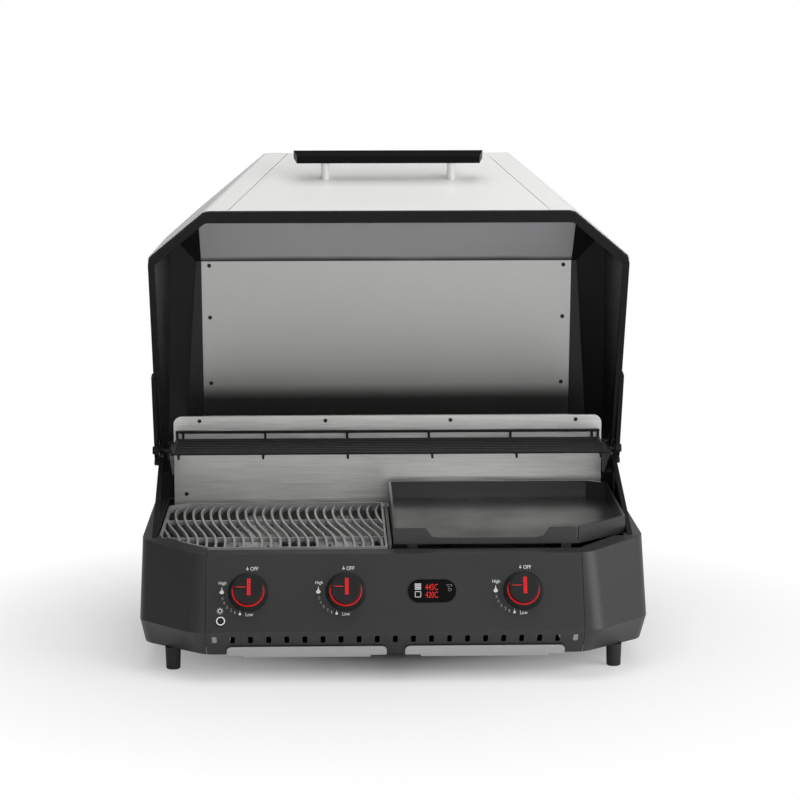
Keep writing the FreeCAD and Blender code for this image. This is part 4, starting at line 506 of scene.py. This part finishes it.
def disc(radius, thickness):
    bpy.ops.object.select_all(action="DESELECT")
    bpy.ops.mesh.primitive_circle_add(vertices=DISC_SIDES, radius=radius, fill_type="NGON")
    bpy.ops.object.mode_set(mode="EDIT")
    bpy.ops.mesh.select_all(action="SELECT")
    bpy.ops.mesh.extrude_region_move(TRANSFORM_OT_translate={"value": (0, 0, thickness)})
    bpy.ops.mesh.select_all(action="SELECT")
    bpy.ops.mesh.normals_make_consistent(inside=False)
    bpy.ops.object.mode_set(mode="OBJECT")
    return bpy.context.object


def open_middle(piece, line):
    # Leaves a rim of the given width: both flat faces are inset, and the insets are bridged.
    bpy.ops.object.mode_set(mode="EDIT")
    bpy.ops.mesh.select_mode(type="FACE")
    bpy.ops.mesh.select_all(action="DESELECT")
    bpy.ops.object.mode_set(mode="OBJECT")
    for face in piece.data.polygons:
        face.select = abs(face.normal.z) > 0.9
    bpy.ops.object.mode_set(mode="EDIT")
    bpy.ops.mesh.inset(thickness=line)
    bpy.ops.mesh.bridge_edge_loops()
    bpy.ops.object.mode_set(mode="OBJECT")
    return piece


def flame(width, height, line):
    radius = width / 2
    piece = disc(radius, FLAME_THICKNESS)
    if line:
        open_middle(piece, line)
    for vertex in piece.data.vertices:
        rise = max(0.0, vertex.co.y / radius)
        vertex.co.x *= max(TIP_WIDTH, 1 - TIP_TAPER * rise)
        vertex.co.y += (height - width) * rise * rise
    return piece


print("a flame can be drawn")

# %% [markdown]
# Every knob has the same scale: OFF above it, High at the left, Low below, and the numbers between
# them along an arc. The real panel is printed in one pass, so the marks are kept as one table of
# places measured from the knob's middle, and a loop prints the table three times.

# %% Print the scales
# In millimetres: text, width and height, and its place right of and above the knob's middle.
DIAL_WORDS = (("OFF", 12.2, 6.0, 9.3, 38.1), ("High", 12.0, 6.6, -40.3, 14.3),
              ("Low", 11.6, 5.8, 1.9, -35.9))
DIAL_NUMBERS = (("5", 3.2, 4.8, -40.2, -10.0), ("4", 3.4, 4.8, -37.9, -17.2),
                ("3", 3.2, 4.8, -33.4, -24.1), ("2", 3.2, 4.8, -27.0, -29.0),
                ("1", 1.8, 4.8, -20.8, -32.9))
# The same, with a name for the text, and the line's width or 0 for a full shape after the height.
FLAMES = (("big_flame", 7.2, 12.0, 2.9, -41.4, 0.6), ("small_flame", 4.2, 7.6, 0, -12.8, -35.2),
          ("drop", 3.6, 6.4, 1.1, -1.6, 37.8))
# In metres. The centre and right scales sit about 2 mm further left than the left one does.
SCALE_SHIFTS = {"left": 0.0, "centre": -0.0018, "right": -0.0021}


def metres(lengths):
    return [length / 1000 for length in lengths]


count = 0
for side, knob_x in KNOBS.items():
    scale_x = knob_x + SCALE_SHIFTS[side]
    for entries, material in ((DIAL_WORDS, white_ink), (DIAL_NUMBERS, faint_ink)):
        for text, *lengths in entries:
            width, height, dx, dy = metres(lengths)
            word(text, width, height, "dial_" + side + "_" + text, material, "housing",
                 scale_x + dx, ROW + dy)
            count += 1
    for label, *lengths in FLAMES:
        width, height, line, dx, dy = metres(lengths)
        piece = lay(flame(width, height, line), scale_x + dx, ROW + dy, PRINT_OUT)
        finish_piece(piece, label + "_" + side, white_ink, "housing")
        count += 1
print("printed marks:", count)

# %% [markdown]
# On each knob's face a red line points at the scale, and a lit column of five small frames stands
# in the middle. One frame is a cube squeezed flat, with its upright edges bevelled and its middle
# opened, and the loop makes it again up the column.

# %% Knob faces
def plate(width, height, thickness, round_off):
    bpy.ops.object.select_all(action="DESELECT")
    bpy.ops.mesh.primitive_cube_add(size=1)
    piece = bpy.context.object
    piece.data.transform(Matrix.Diagonal((width, height, thickness, 1)))
    piece.data.transform(Matrix.Translation((0, 0, thickness / 2)))
    if round_off:
        bpy.ops.object.mode_set(mode="EDIT")
        bpy.ops.mesh.select_all(action="DESELECT")
        bpy.ops.object.mode_set(mode="OBJECT")
        for edge in piece.data.edges:
            a, b = [piece.data.vertices[index].co for index in edge.vertices]
            edge.select = abs(a.z - b.z) > thickness / 2
        bpy.ops.object.mode_set(mode="EDIT")
        bpy.ops.mesh.select_mode(type="EDGE")
        bpy.ops.mesh.bevel(offset=round_off, segments=5, affect="EDGES")
        bpy.ops.object.mode_set(mode="OBJECT")
    return piece


# In metres, measured from the knob's middle on the fascia.
FACE_OUT = 0.024
FACE_UP = 0.0021
LENS_THICKNESS = 0.0003
POINTER_LENGTH, POINTER_LINE, POINTER_LEFT = 0.0146, 0.0015, 0.0115
LEVEL_WIDTH, LEVEL_HEIGHT, LEVEL_CORNER = 0.0056, 0.0052, 0.0010
LEVEL_FRAMES, LEVEL_PITCH, LEVEL_LINE, LEVEL_RIGHT = 5, 0.0054, 0.0018, 0.0015
for side, knob_x in KNOBS.items():
    body = "knob_" + side
    pointer = plate(POINTER_LENGTH, POINTER_LINE, LENS_THICKNESS, 0)
    lay(pointer, knob_x - POINTER_LEFT, ROW + FACE_UP, FACE_OUT)
    finish_piece(pointer, "pointer_" + side, pointer_red, body)
    for step in range(LEVEL_FRAMES):
        level = open_middle(plate(LEVEL_WIDTH, LEVEL_HEIGHT, LENS_THICKNESS, LEVEL_CORNER), LEVEL_LINE)
        above_middle = (step - LEVEL_FRAMES // 2) * LEVEL_PITCH
        lay(level, knob_x + LEVEL_RIGHT, ROW + FACE_UP + above_middle, FACE_OUT)
        finish_piece(level, "level_" + side + "_" + str(step + 1), level_red, body)
print("knob faces:", len(KNOBS))

# %% [markdown]
# The display shows two temperatures, one for each cooking surface, beside a small picture of the
# grate and one of the plate. Figures are text squeezed to the narrow shape of lit segments. The
# grate's picture is four short bars, the plate's is a thin frame. At the right stand the sign for
# the unit and its key.

# %% Display
SCREEN_X = 0.0583
SCREEN_OUT = 0.0014
PICTURE_SIDE = 0.0100
GRATE_BARS, GRATE_BAR, GRATE_PITCH, GRATE_CORNER = 4, 0.0021, 0.0027, 0.0004
FRAME_LINE, FRAME_CORNER = 0.0012, 0.0016
KEY_RADIUS, KEY_LINE = 0.0026, 0.0006
# Text, width and height, name, finish, and its place right of and above the screen's middle.
READINGS = (("445C", 0.0200, 0.0100, "figures_top", figure_red, -0.0006, 0.0060),
            ("420C", 0.0200, 0.0100, "figures_bottom", figure_red, -0.0006, -0.0065),
            ("°C°F", 0.0092, 0.0040, "unit_mark", faint_grey, 0.0273, 0.0083))


def on_screen(piece, name, material, dx, dy):
    lay(piece, SCREEN_X + dx, ROW + dy, SCREEN_OUT)
    return finish_piece(piece, name, material, "housing")


shown = []
for text, width, height, name, material, dx, dy in READINGS:
    shown.append(word(text, width, height, name, material, "housing",
                      SCREEN_X + dx, ROW + dy, SCREEN_OUT))
for row in range(GRATE_BARS):
    bar = plate(PICTURE_SIDE, GRATE_BAR, PRINT_THICKNESS, GRATE_CORNER)
    dy = 0.0028 + row * GRATE_PITCH
    shown.append(on_screen(bar, "grate_picture_" + str(row + 1), figure_grey, -0.0221, dy))
picture = open_middle(plate(PICTURE_SIDE, PICTURE_SIDE, PRINT_THICKNESS, FRAME_CORNER), FRAME_LINE)
shown.append(on_screen(picture, "plate_picture", figure_grey, -0.0222, -0.0056))
unit_key = open_middle(disc(KEY_RADIUS, PRINT_THICKNESS), KEY_LINE)
shown.append(on_screen(unit_key, "unit_key", faint_grey, 0.0280, 0.0019))
print("display pieces:", len(shown))

# %% [markdown]
# The light button has a white ring, and a small sun is printed above it. The ring is a torus
# pressed nearly flat. The sun is a ring with eight rays.

# %% Light button
BUTTON_X = -0.2735
BUTTON_UP = 0.018
BUTTON_OUT = 0.0024
SUN_X = -0.2746
SUN_UP = 0.0348
SUN_RAYS, RAY_LENGTH, RAY_WIDTH, RAY_REACH = 8, 0.0016, 0.0009, 0.0045
# Each ring: its radius, half its line, and how much of its height is left when pressed.
BUTTON_RING = (0.0061, 0.0009, 0.45)
SUN_RING = (0.0028, 0.0005, 0.3)


def torus(major, minor, flat):
    bpy.ops.object.select_all(action="DESELECT")
    bpy.ops.mesh.primitive_torus_add(major_segments=48, minor_segments=10,
                                     major_radius=major, minor_radius=minor)
    piece = bpy.context.object
    piece.data.transform(Matrix.Diagonal((1, 1, flat, 1)))
    return piece


ring = lay(torus(*BUTTON_RING), BUTTON_X, BUTTON_UP, BUTTON_OUT)
finish_piece(ring, "button_ring", white_ink, "light_button")
sun = lay(torus(*SUN_RING), SUN_X, SUN_UP, PRINT_OUT)
finish_piece(sun, "sun_ring", white_ink, "housing")
for step in range(SUN_RAYS):
    ray = plate(RAY_LENGTH, RAY_WIDTH, PRINT_THICKNESS, 0)
    angle = step * 2 * math.pi / SUN_RAYS
    ray.data.transform(Matrix.Rotation(angle, 4, "Z") @ Matrix.Translation((RAY_REACH, 0, 0)))
    lay(ray, SUN_X, SUN_UP, PRINT_OUT)
    finish_piece(ray, "sun_ray_" + str(step + 1), white_ink, "housing")
print("button ring and sun are in place")

# %% [markdown]
# A studio shot of a dark product stands on a pale floor that runs up into a pale backdrop. The
# background has to be white without more light on the grill. So the floor's own colour is pale, and
# further off it turns into plain white for the rays that see it: the camera's in full, the mirrored
# ones in part. Close to the grill it stays an ordinary lit surface, so it keeps a soft shadow.

# %% Floor
# The floor starts to turn white this far from the middle, and gains this much of it in each metre.
WHITE_FROM = 0.15
WHITE_RISE = 1.4
FLOOR_MIRRORED = 0.45


def seen(tree, mirrored):
    # One for the camera's own rays, a given part for mirrored rays, and nought for all others.
    rays = tree.nodes.new("ShaderNodeLightPath").outputs
    bounced = Wire(tree, rays["Is Glossy Ray"]) + Wire(tree, rays["Is Transmission Ray"])
    return (Wire(tree, rays["Is Camera Ray"]) + bounced * mirrored).clipped()


bpy.ops.object.select_all(action="DESELECT")
bpy.ops.mesh.primitive_plane_add(size=60)
floor = bpy.context.object
floor.name = "floor"
floor_finish, floor_shader, floor_place = start_finish("pale_floor", Roughness=0.7)
floor_shade = mix(floor_place, noise(floor_place, 3.0), (0.90, 0.90, 0.90), (0.92, 0.92, 0.92))
feed(floor_shader, "Base Color", floor_shade)
floor_tree = floor_finish.node_tree
away = floor_place.node("ShaderNodeVectorMath", {"operation": "LENGTH"}, {0: floor_place}, output=1)
white_part = ((away - WHITE_FROM) * WHITE_RISE).clipped() * seen(floor_tree, FLOOR_MIRRORED)
plain_white = floor_place.node("ShaderNodeEmission", None, {"Strength": 1.0})
both = floor_place.node("ShaderNodeMixShader", None,
                        {0: white_part, 1: Wire(floor_tree, floor_shader.outputs[0]), 2: plain_white})
output = next(node for node in floor_tree.nodes if node.type == "OUTPUT_MATERIAL")
feed(output, "Surface", both)
floor.data.materials.append(floor_finish)
print("floor is ready")

# %% [markdown]
# The world is the backdrop. It is white near the horizon for the same rays, and a quiet grey for
# all others. Mirrored rays find the left of the studio dark, as with a black card there, so that
# the left corner of the housing mirrors less than the right.

# %% World
QUIET_GREY = 0.30
BACKDROP_TOP = 0.40
BACKDROP_FADE = 4.0
# What mirrored rays see of the backdrop straight ahead, and what they gain towards the right.
AHEAD_MIRRORED = 0.45
RIGHT_GAIN = 1.5
world = bpy.data.worlds.new("studio")
bpy.context.scene.world = world
world.use_nodes = True
sky_tree = world.node_tree
direction = Wire(sky_tree, sky_tree.nodes.new("ShaderNodeTexCoord").outputs["Generated"])
rise = height_in(direction)
rightward = direction.node("ShaderNodeSeparateXYZ", None, {0: direction}, output=0)
mirrored_part = (rightward * RIGHT_GAIN + AHEAD_MIRRORED).clipped()
backdrop = ((BACKDROP_TOP - rise) * BACKDROP_FADE).clipped() * seen(sky_tree, mirrored_part)
background = sky_tree.nodes["Background"]
background.inputs[0].default_value = (1, 1, 1, 1)
feed(background, "Strength", QUIET_GREY + (1 - QUIET_GREY) * backdrop)
print("world is ready")

# %% [markdown]
# Product studios light such a grill with large soft boxes. The key lamp stands high on the right
# and models the hood. One above fills the cooking surfaces, a low one in front shows the bars of
# the grate without a glare on the sloped fascia, and a very weak one on the left keeps that side
# from going flat.

# %% Lamps
def lamp(name, place, target, size, power):
    data = bpy.data.lights.new(name, "AREA")
    data.shape = "RECTANGLE"
    data.size = size[0]
    data.size_y = size[1]
    data.energy = power
    holder = bpy.data.objects.new(name, data)
    bpy.context.scene.collection.objects.link(holder)
    holder.location = place
    holder.rotation_euler = (Vector(target) - Vector(place)).to_track_quat("-Z", "Y").to_euler()


# Each lamp: where it stands, where it points, its width and height, and its power in watts.
lamp("key_lamp", (2.8, -1.6, 1.9), (0, 0, 0.3), (2.6, 2.2), 72)
lamp("top_lamp", (0, -0.6, 3.0), (0, 0, 0.3), (2.6, 1.6), 30)
lamp("front_lamp", (0.4, -3.4, 1.0), (0, 0.2, 0.25), (1.6, 0.7), 17)
lamp("left_lamp", (-2.6, -1.8, 1.6), (0, 0, 0.3), (1.2, 1.6), 1)

# %% [markdown]
# The camera stands about four metres off with a long lens, slightly left of the middle and above
# the grill. Place and angle were worked out from the straight edges of the photograph.

# %% Camera
CAMERA_PLACE = (-0.09964, -4.12888, 1.02635)
# How far the camera tips down, rolls and turns right, in degrees.
DOWN, ROLL, RIGHT = 8.624, 0.049, 1.614
camera_data = bpy.data.cameras.new("camera")
camera_data.lens = 112.5
camera_data.sensor_width = 36
camera_data.clip_end = 200
camera = bpy.data.objects.new("camera", camera_data)
bpy.context.scene.collection.objects.link(camera)
camera.location = CAMERA_PLACE
camera.rotation_euler = (math.radians(90 - DOWN), math.radians(ROLL), math.radians(-RIGHT))
bpy.context.scene.camera = camera
bpy.context.scene.view_settings.view_transform = "Standard"
print("camera at", tuple(round(value, 3) for value in camera.location))

# %% [markdown]
# Dressing must not change the size of the grill.

# %% The dressed scene
print("the scene is dressed")
